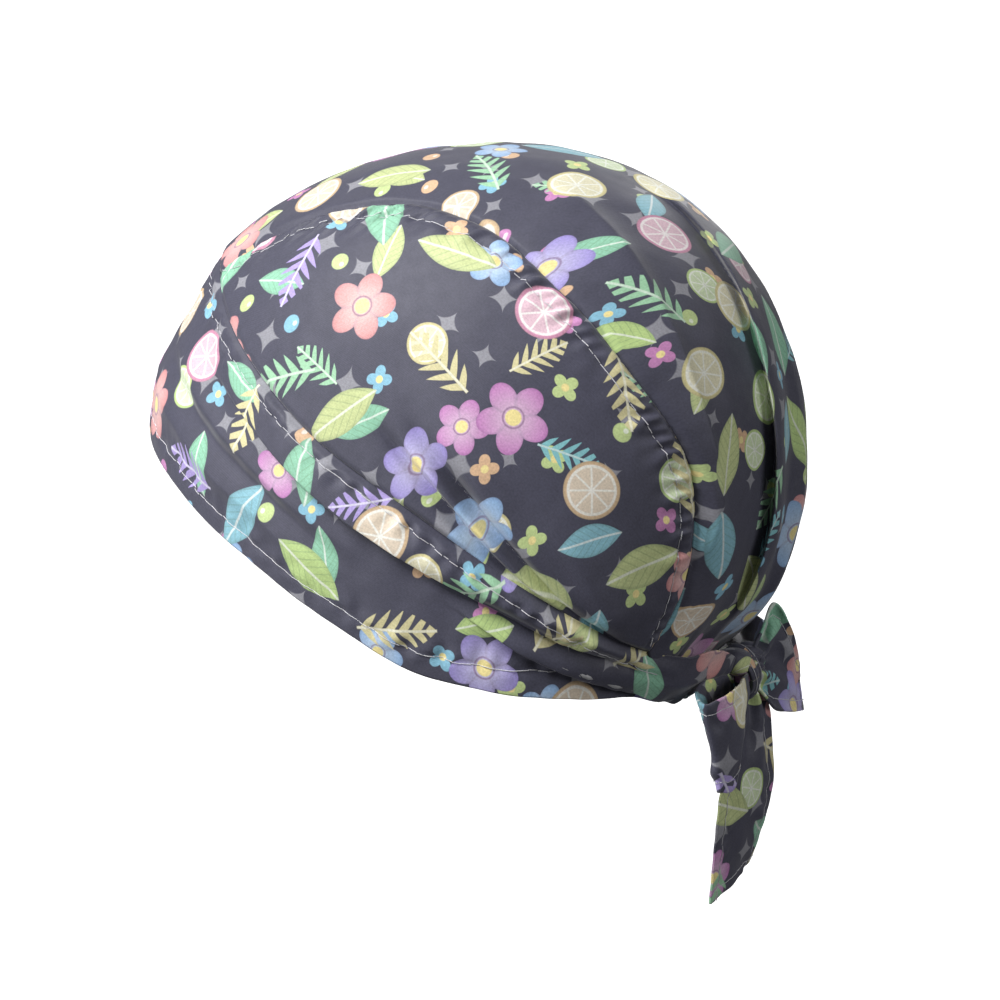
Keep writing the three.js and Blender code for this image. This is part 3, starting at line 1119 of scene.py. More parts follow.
class Choice(NamedTuple):
    """Motif, and the range of a cell's random pick that it takes."""

    low: float
    high: float
    motif: Motif


class Scatter(NamedTuple):
    """Layer of motifs in staggered cells: pitch and largest shift in mm, seed, and share of full size."""

    pitch: float
    jitter: float
    seed: float
    size: float
    choices: tuple[Choice, ...]


LARGE_MOTIFS = (
    Choice(0.0, 0.32, Leaf()), Choice(0.32, 0.6, Blossom()), Choice(0.6, 0.82, FruitSlice()),
    Choice(0.82, 1.01, Sprig()),
)


@dataclass(frozen=True)
class GardenPrint:
    """Scattered leaves, blossoms, fruit slices and sprigs over small flowers and sparkles."""

    sparkles: Scatter = Scatter(17.0, 3.5, 4.5, 1.0, (Choice(0.0, 0.5, Sparkle()),))
    small: Scatter = Scatter(
        21.0, 4.5, 3.5, 1.0, (Choice(0.0, 0.4, SmallFlower()), Choice(0.4, 0.66, Berry())),
    )
    under: Scatter = Scatter(31.0, 3.5, 2.5, 0.76, LARGE_MOTIFS)
    large: Scatter = Scatter(31.0, 1.7, 1.5, 1.0, LARGE_MOTIFS)
    lean: float = 0.5
    stagger: float = 0.5
    turn_mix: tuple[float, float] = (7.3, 5.1)

    def cell(self, tree: ShaderTree, u: Value, v: Value, layer: Scatter) -> Place:
        """Splits the cloth into staggered cells, each with its own turn and shift.

        Args:
            tree: Tree that takes the nodes.
            u: Place along the cloth, in mm.
            v: Place across the cloth, in mm.
            layer: Layer of motifs.

        Returns:
            The place in its cell, at the motifs' full size.
        """
        row = (v / layer.pitch).floor()
        slid = u / layer.pitch + row * self.stagger
        column = slid.floor()
        spot = tree.value("ShaderNodeCombineXYZ", {}, {0: column, 1: row, 2: layer.seed})
        noise = tree.node("ShaderNodeTexWhiteNoise", {"noise_dimensions": "3D"}, {"Vector": spot})
        parts = tree.node("ShaderNodeSeparateColor", {}, {0: Value(tree, noise.outputs["Color"])})
        one, two, three = (Value(tree, parts.outputs[k]) for k in range(3))
        x = (slid - column - 0.5) * layer.pitch - (one - 0.5) * (2 * layer.jitter)
        y = (v / layer.pitch - row - 0.5) * layer.pitch - (two - 0.5) * (2 * layer.jitter)
        turn = (one * self.turn_mix[0] + three * self.turn_mix[1]) * math.tau
        c, s = turn.cosine(), turn.sine()
        pick = Value(tree, noise.outputs["Value"])
        return Place((x * c + y * s) / layer.size, (y * c - x * s) / layer.size, pick, three, two)

    def paint(self, tree: ShaderTree, u: Value, v: Value, ground: Value) -> Value:
        """Whole print over a ground colour.

        Args:
            tree: Tree that takes the nodes.
            u: Place along the cloth, in mm.
            v: Place across the cloth, in mm.
            ground: Colour of the bare cloth.

        Returns:
            The printed colour.
        """
        lean_u = u * math.cos(self.lean) - v * math.sin(self.lean)
        lean_v = u * math.sin(self.lean) + v * math.cos(self.lean)
        layers = (
            (self.sparkles, u, v), (self.small, lean_v, lean_u),
            (self.under, lean_u, lean_v), (self.large, u, v),
        )
        for layer, along, across in layers:
            at = self.cell(tree, along, across, layer)
            for low, high, motif in layer.choices:
                paint = motif.paint(tree, at)
                chosen = (at.pick > low) * (at.pick < high)
                ground = tree.mix(paint.cover * chosen, ground, paint.tint)
        return ground


@dataclass(frozen=True)
class ClothFinish:
    """Printed poplin: a charcoal ground, a soft sheen and a fine plain weave.

    Noises are given by scale and detail. wash is a base, and what stain and grain add to it.
    """

    name: str
    ground: Colour = colour(61, 61, 75)
    worn: Colour = colour(74, 74, 89)
    worn_share: float = 0.25
    sunk: float = 0.2
    stain_noise: tuple[float, float] = (210.0, 3.0)
    grain_noise: tuple[float, float] = (1500.0, 1.0)
    wash: tuple[float, float, float] = (0.6, 0.24, 0.56)
    reverse: float = 0.0
    reverse_tint: Colour = colour(176, 176, 176)
    roughness: float = 0.64
    roughness_spread: float = 0.14
    specular: float = 0.28
    thread: float = 0.55
    weave_height: float = 0.05
    weave_strength: float = 0.5
    over_share: float = 0.6
    sheen: float = 0.2
    sheen_roughness: float = 0.45
    design: GardenPrint = GardenPrint()

    def make(self) -> bpy.types.Material:
        """Builds the material.

        Returns:
            The material, on the piece's own UV map in metres.
        """
        tree = ShaderTree(self.name)
        cut = tree.value("ShaderNodeUVMap", {"uv_map": "cut"}, {})
        parts = tree.node("ShaderNodeSeparateXYZ", {}, {0: cut})
        u, v = (Value(tree, parts.outputs[k]) * (1 / MM) for k in range(2))
        stain = tree.noise(cut, *self.stain_noise)
        grain = tree.noise(cut, *self.grain_noise)
        ground = tree.mix(stain * self.worn_share, self.ground, self.worn)
        printed = tree.mix(self.sunk, self.design.paint(tree, u, v, ground), ground)
        wash = self.wash[0] + stain * self.wash[1] + grain * self.wash[2]
        grey = tree.value("ShaderNodeCombineColor", {}, {0: wash, 1: wash, 2: wash})
        printed = tree.mix(1.0, printed, grey, "MULTIPLY")
        if self.reverse > 0:
            printed = tree.mix(self.reverse, printed, self.reverse_tint)
        return tree.surface({
            "Base Color": printed,
            "Roughness": self.roughness - stain * self.roughness_spread,
            "Normal": tree.bump(self.weave(u, v), self.weave_strength, self.weave_height * MM),
            "Sheen Weight": self.sheen,
            "Sheen Roughness": self.sheen_roughness,
            "Specular IOR Level": self.specular,
        })

    def weave(self, u: Value, v: Value) -> Value:
        """Height of the plain weave.

        Args:
            u: Place along the cloth, in mm.
            v: Place across the cloth, in mm.

        Returns:
            The height, from 0 to about 1.
        """
        warp, weft = (((place * (math.tau / self.thread)).sine() + 1) * 0.5 for place in (u, v))
        crossing = ((u / (2 * self.thread)).floor() + (v / (2 * self.thread)).floor()) * 0.5
        return warp * 0.5 + weft * 0.5 + crossing.fraction() * self.over_share


@dataclass(frozen=True)
class ThreadFinish:
    """White sewing thread with a twist, with painted shade in the low places of its bump."""

    name: str = "white_thread"
    tint: Colour = colour(208, 208, 210)
    # shade: colour of painted shade, laid where the twist's bump is low
    shade: Colour = colour(158, 158, 166)
    twist_noise: tuple[float, float] = (2600.0, 2.0)
    twist_strength: float = 0.4
    twist_height: float = 0.1
    roughness: float = 0.5
    roughness_spread: float = 0.2
    sheen: float = 0.2

    def make(self) -> bpy.types.Material:
        """Builds the material.

        Returns:
            The material, on Object coordinates.
        """
        tree = ShaderTree(self.name)
        twist = tree.noise(tree.value("ShaderNodeTexCoord", {}, {}, "Object"), *self.twist_noise)
        return tree.surface({
            # painted shade: the twist noise that raises the bump also darkens its low places toward shade
            "Base Color": tree.mix(twist, self.shade, self.tint),
            "Roughness": self.roughness + twist * self.roughness_spread,
            "Normal": tree.bump(twist, self.twist_strength, self.twist_height * MM),
            "Sheen Weight": self.sheen,
        })


@dataclass(frozen=True)
class FloorFinish:
    """Plain white studio sweep."""

    name: str = "studio_white"
    tint: Colour = (0.8, 0.8, 0.8, 1.0)
    light: Colour = (1.0, 1.0, 1.0, 1.0)
    glow: float = 1.05
    roughness: float = 0.9

    def make(self) -> bpy.types.Material:
        """Builds the material.

        Returns:
            The material, which gives light of its own.
        """
        return ShaderTree(self.name).surface({
            "Base Color": self.tint,
            "Roughness": self.roughness,
            "Emission Color": self.light,
            "Emission Strength": self.glow,
        })


@dataclass
class ClothSet:
    """Materials of the two sides of the cloth, and the thread."""

    right: bpy.types.Material
    reverse: bpy.types.Material
    thread: bpy.types.Material

    @classmethod
    def make(cls) -> "ClothSet":
        """Builds the three materials.

        Returns:
            The set.
        """
        return cls(
            ClothFinish("printed_poplin").make(),
            ClothFinish("printed_poplin_reverse", reverse=0.55, roughness=0.72, sheen=0.06).make(),
            ThreadFinish().make(),
        )

    def dress(self, piece: bpy.types.Object, doubled: bool = False) -> None:
        """Gives a closed sheet its two sides, which are alike on doubled cloth."""
        piece.data.materials.append(self.right)
        piece.data.materials.append(self.right if doubled else self.reverse)


class StitchLine(NamedTuple):
    """Path of a row of stitches on cloth: its points and the normals there, in mm."""

    points: Array
    normals: Array


STITCH_SOCKETS = {
    "Paths": "Geometry", "Pitch": "Float", "Stitch Length": "Float", "Thread Radius": "Float",
    "Lift": "Float", "Seed": "Int", "Thread": "Material",
}


@dataclass
class Stitching:
    """Rows of lock stitches, laid along paths by a Geometry Nodes tree; sizes are in mm."""

    thread: bpy.types.Material
    pitch: float = 3.0
    length: float = 3.0
    radius: float = 0.13
    lift: float = 0.15
    end_lift: float = 0.1
    arch_lift: float = 1.7
    arch_steps: int = 5
    ring_steps: int = 6
    least: tuple[float, float, float] = (0.96, 0.9, 0.85)
    most: tuple[float, float, float] = (1.08, 1.1, 1.1)
    seed: int = 5

    def __post_init__(self) -> None:
        """Builds the tree that turns paths into stitches."""
        self.group = bpy.data.node_groups.new("stitch_row", "GeometryNodeTree")
        face = self.group.interface
        for name, kind in STITCH_SOCKETS.items():
            face.new_socket(name, in_out="INPUT", socket_type="NodeSocket" + kind)
        face.new_socket("Stitches", in_out="OUTPUT", socket_type="NodeSocketGeometry")
        tree = NodeTree(self.group)
        entry = tree.node("NodeGroupInput", {}, {})
        given = {name: Value(tree, entry.outputs[name]) for name in STITCH_SOCKETS}
        curve = tree.value("GeometryNodeMeshToCurve", {}, {"Mesh": given["Paths"]})
        spaced = tree.value(
            "GeometryNodeResampleCurve", {"mode": "LENGTH"}, {"Curve": curve, "Length": given["Pitch"]},
        )
        normal = tree.value(
            "GeometryNodeInputNamedAttribute", {"data_type": "FLOAT_VECTOR"}, {"Name": "cloth_normal"},
        )
        turn = tree.value(
            "FunctionNodeAxesToRotation", {"primary_axis": "Z", "secondary_axis": "X"},
            {0: normal, 1: tree.value("GeometryNodeInputTangent", {}, {})},
        )
        uneven = tree.value(
            "FunctionNodeRandomValue", {"data_type": "FLOAT_VECTOR"},
            {"Min": self.least, "Max": self.most, "Seed": given["Seed"]},
        )
        placed = tree.value("GeometryNodeInstanceOnPoints", {}, {
            "Points": spaced, "Instance": self.strand(tree, given), "Rotation": turn, "Scale": uneven,
        })
        real = tree.value("GeometryNodeRealizeInstances", {}, {"Geometry": placed})
        dressed = tree.value(
            "GeometryNodeSetMaterial", {}, {"Geometry": real, "Material": given["Thread"]},
        )
        tree.node("NodeGroupOutput", {}, {0: dressed})

    def strand(self, tree: NodeTree, given: dict[str, Value]) -> Value:
        """Adds the nodes of one stitch, an arch of thread.

        Args:
            tree: Tree that takes the nodes.
            given: Inputs of the tree.

        Returns:
            The stitch's mesh.
        """
        half = given["Stitch Length"] * 0.5
        low = given["Lift"] * self.end_lift
        high = given["Lift"] * self.arch_lift
        arch = tree.value("GeometryNodeCurveQuadraticBezier", {}, {
            "Resolution": self.arch_steps,
            "Start": tree.value("ShaderNodeCombineXYZ", {}, {0: half * -1.0, 2: low}),
            "Middle": tree.value("ShaderNodeCombineXYZ", {}, {2: high}),
            "End": tree.value("ShaderNodeCombineXYZ", {}, {0: half, 2: low}),
        })
        ring = tree.value(
            "GeometryNodeCurvePrimitiveCircle", {"mode": "RADIUS"},
            {"Resolution": self.ring_steps, "Radius": given["Thread Radius"]},
        )
        return tree.value(
            "GeometryNodeCurveToMesh", {}, {"Curve": arch, "Profile Curve": ring, "Fill Caps": True},
        )

    def sew(self, name: str, lines: list[StitchLine]) -> bpy.types.Object:
        """Bakes rows of stitches into one mesh.

        Args:
            name: Name of the piece.
            lines: Paths of the rows.

        Returns:
            The piece.
        """
        points = np.concatenate([line.points for line in lines]) * MM
        normals = np.concatenate([line.normals for line in lines])
        edges: list[tuple[int, int]] = []
        count = 0
        for line in lines:
            size = len(line.points)
            edges += [(count + k, count + k + 1) for k in range(size - 1)]
            count += size
        mesh = bpy.data.meshes.new(name)
        mesh.from_pydata(points.tolist(), edges, [])
        stored = mesh.attributes.new("cloth_normal", "FLOAT_VECTOR", "POINT")
        stored.data.foreach_set("vector", normals.astype(np.float32).ravel())
        piece = bpy.data.objects.new(name, mesh)
        bpy.context.scene.collection.objects.link(piece)
        modifier = piece.modifiers.new("stitches", "NODES")
        modifier.node_group = self.group
        sizes = {
            "Pitch": self.pitch * MM, "Stitch Length": self.length * MM, "Thread Radius": self.radius * MM,
            "Lift": self.lift * MM, "Seed": self.seed, "Thread": self.thread,
        }
        for item in self.group.interface.items_tree:
            if item.in_out == "INPUT" and item.name in sizes:
                modifier[item.identifier] = sizes[item.name]
        graph = bpy.context.evaluated_depsgraph_get()
        baked = bpy.data.meshes.new_from_object(piece.evaluated_get(graph))
        piece.modifiers.clear()
        piece.data = baked
        baked.shade_smooth()
        LOG.info("%s: %d rows", name, len(lines))
        return piece


def join_frame(piece: bpy.types.Object, node: str, slot: str) -> None:
    """Lets a piece ride on the part in place of a CAD node, which it hides.

    Args:
        piece: The piece.
        node: Name of the CAD node.
        slot: Name of the material slot; not used.
    """
    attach(piece, "root")
    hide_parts(node)


@dataclass
class Panel:
    """A sewn sheet of the cap, on a grid of places along it and shares of its width."""

    name: str
    slot: str
    rows: int
    columns: int
    held: Held
    rests_on: tuple[str, ...]
    shift: tuple[float, float]
    wall: float = 0.7
    doubled: bool = False
    pattern_grid: tuple[int, int] = (56, 25)
    normal_step: float = 0.002

    def __post_init__(self) -> None:
        """Works out the flat cut."""
        self.pattern = FlatPattern(self.bare(*share_grid(*self.pattern_grid)))

    def bare(self, along: Array, across: Array) -> Array:
        """Points of the panel without its folds, at shares along and across."""
        raise NotImplementedError

    def surface(self, along: Array, share: Array) -> tuple[Array, Array]:
        """Points on the right side of the cloth, and their flat places, in mm."""
        raise NotImplementedError

    def thickness(self, along: Array, share: Array) -> Array:
        """Thickness of the cloth, with its hems."""
        return np.full(along.shape, self.wall)

    def stitch_lines(self) -> list[StitchLine]:
        """Rows of stitches that the panel carries."""
        raise NotImplementedError

    def stitch(self, along: Array, share: Array) -> StitchLine:
        """Row of stitches through places on the panel.

        Args:
            along: Shares along the panel.
            share: Shares of its width.

        Returns:
            The row's path.
        """
        step = self.normal_step
        points, _ = self.surface(along, share)
        ahead, _ = self.surface(along + step, share)
        behind, _ = self.surface(along - step, share)
        above, _ = self.surface(along, share + step)
        below, _ = self.surface(along, share - step)
        normals = unit(np.cross(ahead - behind, above - below))
        return StitchLine(points, normals * self.facing(points, normals))

    def facing(self, points: Array, normals: Array) -> float:
        """Sign that turns grid normals to the right side of the cloth."""
        return float(np.sign((points * normals).sum()))

    def build(self, cloth: ClothSet, sewing: Stitching) -> bpy.types.Object:
        """Makes the panel and its stitches, and attaches them to the root body.

        Args:
            cloth: Materials.
            sewing: Maker of stitches.

        Returns:
            The panel.
        """
        along, share = share_grid(self.rows, self.columns)
        outer, flat = self.surface(along, share)
        normals = grid_normals(outer)
        normals = normals * self.facing(outer, normals)
        inner = outer - normals * (self.thickness(along, share) * bend_share(normals))[..., None]
        piece = closed_sheet(self.name + "_cloth", outer, inner, flat + np.array(self.shift))
        cloth.dress(piece, self.doubled)
        join_frame(piece, self.name, self.slot)
        thread = sewing.sew(self.name + "_stitches", self.stitch_lines())
        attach(thread, "root")
        cut = cut_size(flat)
        list(self.rests_on)
        LOG.info("%s: flat %.0f x %.0f mm, %.4f m2", piece.name, cut.width / MM, cut.length / MM, cut.area)
        return piece


def bend_share(
    normals: Array, reach: int = 3, least: float = 0.2, bends: tuple[float, float] = (0.1, 0.9),
) -> Array:
    """Share of a sheet's thickness that is left where it bends sharply across the grid.

    Args:
        normals: Normals on a grid.
        reach: Grid steps over which the bend is measured.
        least: Share that is left at a turned fold.
        bends: Cosines of the bend at a turned fold and on nearly flat cloth.

    Returns:
        Shares up to 1 on flat cloth.
    """
    padded = np.pad(normals, ((0, 0), (reach, reach), (0, 0)), mode="edge")
    bend = (padded[:, : -2 * reach] * padded[:, 2 * reach:]).sum(-1)
    return lerp(least, 1.0, smoothstep(bend, *bends))


def coons(
    low: Array, high: Array, first: Array, last: Array, corners: Array, along: Array, across: Array,
) -> Array:
    """Patch of directions between four edges that share their corners.

    Args:
        low: Low edge at each place along.
        high: High edge at each place along.
        first: First edge at each place across.
        last: Last edge at each place across.
        corners: Directions low-first, high-first, low-last and high-last.
        along: Shares along.
        across: Shares across.

    Returns:
        Directions, not of length 1.
    """
    s, t = along[..., None], across[..., None]
    straight = low * (1 - t) + high * t + first * (1 - s) + last * s
    bent = corners[0] * (1 - s) * (1 - t) + corners[1] * (1 - s) * t
    return straight - bent - corners[2] * s * (1 - t) - corners[3] * s * t


def seam_way(share: Array, side: int) -> Array:
    """Directions of a side seam.

    Args:
        share: Shares of its length.
        side: 1 on the left, -1 on the right.

    Returns:
        Unit directions.
    """
    station = share * SEAM_LENGTH
    way = direction(SIDE_SEAM.read("bearing", station), SIDE_SEAM.read("rise", station))
    return way * np.array([side, 1, 1])


def band_way(edge: str, bearing: Array) -> Array:
    """Directions of an edge of the band at bearings that are below 0 on the right."""
    return direction(bearing, BAND_EDGES.read(edge, np.abs(bearing)))


def hem_way(bearing: Array) -> Array:
    """Directions of the free hem at the nape."""
    return direction(bearing, NAPE_HEM.read("rise", np.abs(bearing - NAPE_MIDDLE)))


def held_by_seam(distance: Array, hold: float = 6.0) -> Array:
    """Share of a fold's height that is left at a distance from a seam."""
    return smoothstep(distance, 0.0, hold)


def hemmed(distance: Array, stiff: float = 8.0, least: float = 0.25) -> Array:
    """Share of the creases that a turned hem leaves at a distance from its edge."""
    return lerp(least, 1.0, smoothstep(distance, 0.0, stiff))


@dataclass
class FormedPanel(Panel):
    """Panel that lies over the head form, with uneven creases and, on some, a turned hem."""

    crumples: ClassVar[tuple[Crumple, ...]]
    hem_line: ClassVar[float]
    hem_wall: float = 1.3
    hem_turn: tuple[float, float] = (0.6, 2.4)
    calm_hold: float = 3.0

    def way(self, along: Array, across: Array) -> Array:
        """Directions of the panel at shares along and across."""
        raise NotImplementedError

    def bare(self, along: Array, across: Array) -> Array:
        """Points of the panel without its folds, at shares along and across."""
        return HEAD.out(self.way(along, across), 0 * along)

    def cut_places(self, along: Array, across: Array, drape: Drape) -> Array:
        """Flat places of draped cloth.

        Args:
            along: Shares along the panel.
            across: Shares across it.
            drape: The drape there.

        Returns:
            Flat places in mm, with the cloth that tucks took in.
        """
        flat = self.pattern.read(along, across)
        flat[..., 1] += drape.taken
        return flat

    def crumpled(self, flat: Array) -> Array:
        """Rise of the uneven creases at flat places."""
        return sum(crumple.rise(flat) for crumple in self.crumples)

    def hem_thickness(self, distance: Array) -> Array:
        """Thickness of the cloth at a distance from its turned hem."""
        return lerp(self.hem_wall, self.wall, smoothstep(distance - self.hem_line, *self.hem_turn))


@dataclass
class CenterPanel(FormedPanel):
    """Middle panel of the crown, from the brow over the top to a free hem at the nape."""

    pattern_grid: tuple[int, int] = (56, 33)
    crumples: ClassVar[tuple[Crumple, ...]] = (Crumple(21, 28.0, 0.18), Crumple(22, 12.0, 0.045))
    hem_line: ClassVar[float] = 3.2
    brow_hold: float = 4.0
    hem_row: Row = Row(0.03, 0.97, 500)
    hem_seed: int = 31

    def way(self, along: Array, across: Array) -> Array:
        """Directions of the panel.

        Args:
            along: Shares along, from the brow to the nape.
            across: Shares across, from the right to the left.

        Returns:
            Directions, not of length 1.
        """
        corners = np.stack([seam_way(np.array(s), side) for s in (0.0, 1.0) for side in (-1, 1)])
        brow = band_way("seam", lerp(-SEAM_FRONT, SEAM_FRONT, across))
        hem = hem_way(lerp(2 * NAPE_MIDDLE - SEAM_BACK, SEAM_BACK, across))
        return coons(seam_way(along, -1), seam_way(along, 1), brow, hem, corners, along, across)

    def span(self, along: Array) -> Array:
        """Half the panel's width at shares along, in mm."""
        edge = seam_way(along, 1)
        return HEAD.reach(edge) * edge[..., 0]

    def surface(self, along: Array, share: Array) -> tuple[Array, Array]:
        """Points on the right side of the cloth, and their flat places.

        Args:
            along: Shares along the panel.
            share: Shares of the cloth's width.

        Returns:
            Points and flat places, in mm.
        """
        station = along * SEAM_LENGTH
        span = self.span(along)
        drape = CENTER_FOLDS.drape(station, share, -1.0, span)
        across = (drape.place / span + 1) / 2
        flat = self.cut_places(along, across, drape)
        seam = np.minimum(share, 1 - share) * drape.width
        brow = np.maximum(station, 0.0)
        hem = SEAM_LENGTH - station
        calm = held_by_seam(seam, self.calm_hold) * held_by_seam(brow, self.brow_hold) * hemmed(hem)
        rise = held_by_seam(seam) * drape.rise + SEWING.sewn(seam) + SEWING.sewn(brow)
        rise = rise + calm * self.crumpled(flat)
        rise = rise + calm * SEWING.stitched(hem - self.hem_line, flat[..., 1], self.hem_seed)
        return HEAD.out(self.way(along, across), rise), flat

    def thickness(self, along: Array, share: Array) -> Array:
        """Thickness of the cloth, with the turned hem."""
        return self.hem_thickness((1 - along) * SEAM_LENGTH)

    def stitch_lines(self) -> list[StitchLine]:
        """Row along the free hem."""
        share = self.hem_row.places()
        return [self.stitch(np.full_like(share, 1 - self.hem_line / SEAM_LENGTH), share)]


@dataclass
class StripPanel(FormedPanel):
    """Panel that goes straight from a low edge to a high edge."""

    def edges(self, along: Array) -> tuple[Array, Array]:
        """Directions of the low and the high edge at shares along."""
        raise NotImplementedError

    def way(self, along: Array, across: Array) -> Array:
        """Directions of the panel at shares along and across."""
        low, high = self.edges(along)
        return lerp(low, high, across[..., None])

    def span(self, along: Array) -> Array:
        """Width in mm between the edges at shares along."""
        low, high = self.edges(along)
        return np.linalg.norm(high - low, axis=-1) * HEAD.half_width


@dataclass
class SidePanel(StripPanel):
    """Side of the crown, pointed at both ends, between the band and the middle panel."""

    crumples: ClassVar[tuple[Crumple, ...]] = (Crumple(41, 34.0, 0.14), Crumple(42, 13.0, 0.035))
    side: Side = Side.LEFT
    seam_line: float = 5.8
    seam_row: Row = Row(0.03, 0.965, 900)
    seam_seed: int = 51
    stitch_hold: float = 8.0
    drag_hold: float = 1.6
    tip_share: float = 0.001

    def edges(self, along: Array) -> tuple[Array, Array]:
        """Directions of the band's edge and of the seam's.

        Args:
            along: Shares along the panel.

        Returns:
            Unit directions of the low and the high edge.
        """
        inside = lerp(self.tip_share, 1 - self.tip_share, along)
        low = band_way("seam", self.side.value * lerp(SEAM_FRONT, SEAM_BACK, inside))
        return low, seam_way(inside, self.side.value)

    def surface(self, along: Array, share: Array) -> tuple[Array, Array]:
        """Points on the right side of the cloth, and their flat places.

        Args:
            along: Shares along the panel.
            share: Shares of the cloth's width.

        Returns:
            Points and flat places, in mm.
        """
        span = self.span(along)
        drape = SIDE_FOLDS.drape(along, share, 0.0, span)
        across = drape.place / span
        flat = self.cut_places(along, across, drape)
        below = share * drape.width
        above = (1 - share) * drape.width
        nearest = np.minimum(below, above)
        rise = held_by_seam(above) * held_by_seam(below, self.drag_hold) * drape.rise
        rise = rise + SEWING.sewn(nearest) + SEWING.dragged(below, along)
        rise = rise + held_by_seam(nearest, self.calm_hold) * self.crumpled(flat)
        run = along * SEAM_LENGTH
        beside = SEWING.stitched(above - self.seam_line, run, self.seam_seed)
        beside = beside + SEWING.rippled(above, self.seam_line, run)
        rise = rise + held_by_seam(below, self.stitch_hold) * beside
        return HEAD.out(self.way(along, across), rise), flat

    def stitch_lines(self) -> list[StitchLine]:
        """Row along the seam with the middle panel.

        Returns:
            The one row.
        """
        along = self.seam_row.places()
        span = self.span(along)
        return [self.stitch(along, 1 - np.minimum(self.seam_line, span / 2) / span)]


@dataclass
class Band(StripPanel):
    """Wide band round the head, whose two ends narrow towards the knot."""

    pattern_grid: tuple[int, int] = (121, 13)
    crumples: ClassVar[tuple[Crumple, ...]] = (Crumple(61, 26.0, 0.2), Crumple(62, 11.0, 0.05))
    seam_line: float = 4.6
    seam_row: Row = Row(0.09, 0.91, 1800)
    seam_seed: int = 71
    hem_line: ClassVar[float] = 5.6
    hem_row: Row = Row(0.03, 0.97, 1800)
    hem_seed: int = 72
    row_share: float = 0.4
    fold_hold: float = 3.2
    stitch_hold: float = 4.0
    nape_release: tuple[float, float] = (-0.5, 11.0)

    def bearing(self, along: Array) -> Array:
        """Bearings at shares along the band, from its right end to its left."""
        return lerp(-BAND_END, BAND_END, along)

    def edges(self, along: Array) -> tuple[Array, Array]:
        """Directions of the rim and the upper seam at shares along."""
        bearing = self.bearing(along)
        return band_way("rim", bearing), band_way("seam", bearing)

    def drape(self, along: Array, share: Array) -> Drape:
        """Drape of the band's cloth at shares along and of its width."""
        return BAND_FOLDS.drape(np.abs(self.bearing(along)), share, 0.0, self.span(along))

    def surface(self, along: Array, share: Array) -> tuple[Array, Array]:
        """Points on the right side of the cloth, and their flat places.

        Args:
            along: Shares along the band.
            share: Shares of the cloth's width.

        Returns:
            Points and flat places, in mm.
        """
        bearing = np.abs(self.bearing(along))
        drape = self.drape(along, share)
        across = drape.place / self.span(along)
        flat = self.cut_places(along, across, drape)
        below = share * drape.width
        above = (1 - share) * drape.width
        sewn = 1 - smoothstep(bearing - SEAM_BACK, *self.nape_release)
        onward = (bearing - SEAM_FRONT) / (SEAM_BACK - SEAM_FRONT)
        held = lerp(1.0, held_by_seam(above, self.fold_hold), sewn)
        calm = lerp(1.0, held_by_seam(above, self.calm_hold), sewn) * hemmed(below)
        seam_row = SEWING.stitched(above - self.seam_line, flat[..., 0], self.seam_seed)
        hem_row = SEWING.stitched(below - self.hem_line, flat[..., 0], self.hem_seed)
        rise = BAND_EDGES.read("lift", bearing) + held * drape.rise + calm * self.crumpled(flat)
        rise = rise + sewn * (SEWING.sewn(above) + SEWING.dragged(above, onward))
        rise = rise + sewn * held_by_seam(above, self.stitch_hold) * seam_row + hemmed(below) * hem_row
        return HEAD.out(self.way(along, across), rise), flat

    def thickness(self, along: Array, share: Array) -> Array:
        """Thickness of the cloth, with the turned hem."""
        return self.hem_thickness(share * self.span(along))

    def stitch_lines(self) -> list[StitchLine]:
        """Rows below the upper seam and above the rim.

        Returns:
            The two rows.
        """
        upper, lower = self.seam_row.places(), self.hem_row.places()
        upper_width, lower_width = (self.drape(along, 0 * along).width for along in (upper, lower))
        below_seam = np.minimum(self.seam_line / upper_width, self.row_share)
        above_rim = np.minimum(self.hem_line / lower_width, self.row_share)
        return [self.stitch(upper, 1 - below_seam), self.stitch(lower, above_rim)]


class Pleats(NamedTuple):
    """Gathers that spread from the knot along a tie: their count, height and share of length."""

    count: float
    height: float
    fade: float


SECTION = ("place", "ex", "ey", "ez", "fx", "fy", "fz", "bow")
LOOP_SECTIONS = SmoothTable(SECTION, (
    (0, 0, 80.5, -67, 0, 80, -72.5, 0), (1, 14, 84, -65.5, 13, 83, -80, 1),
    (2, 30, 85, -67.3, 28, 85.4, -97.4, 1), (3, 42, 79.5, -70, 36, 83, -98.6, 0),
    (4, 33, 74, -66.8, 30, 80.4, -97.4, -1), (5, 16, 76, -63.5, 15, 79, -85, 0),
    (6, 0, 77.5, -65, 0, 78, -75, 0),
))
LONG_SECTIONS = SmoothTable(SECTION, (
    (0, 1, 78, -70, -6, 79, -70, 0), (1, 2.5, 78, -80, -11, 84, -78, 1),
    (2, 8.5, 77, -92, -13, 85, -90, 1.4), (3, 14, 76, -106, -15, 85, -105, 1.6),
    (4, 14.5, 74.5, -124, -15, 81.5, -120, 1.2), (5, 14, 73, -140, -14, 77.5, -132, 0.8),
))
SHORT_SECTIONS = SmoothTable(SECTION, (
    (0, -3, 82, -60, -3, 81.4, -70, 0), (1, -13, 82, -55.5, -7, 84.8, -75.5, 0.6),
    (2, -18, 84, -47.6, -12, 86.6, -80.5, 1.2), (3, -21, 87.6, -53.2, -21, 88.2, -82.8, 1.2),
    (4, -27, 89, -62.8, -29, 89, -84.4, 0.8), (5, -33, 88, -70, -36, 89, -85.2, 0),
))


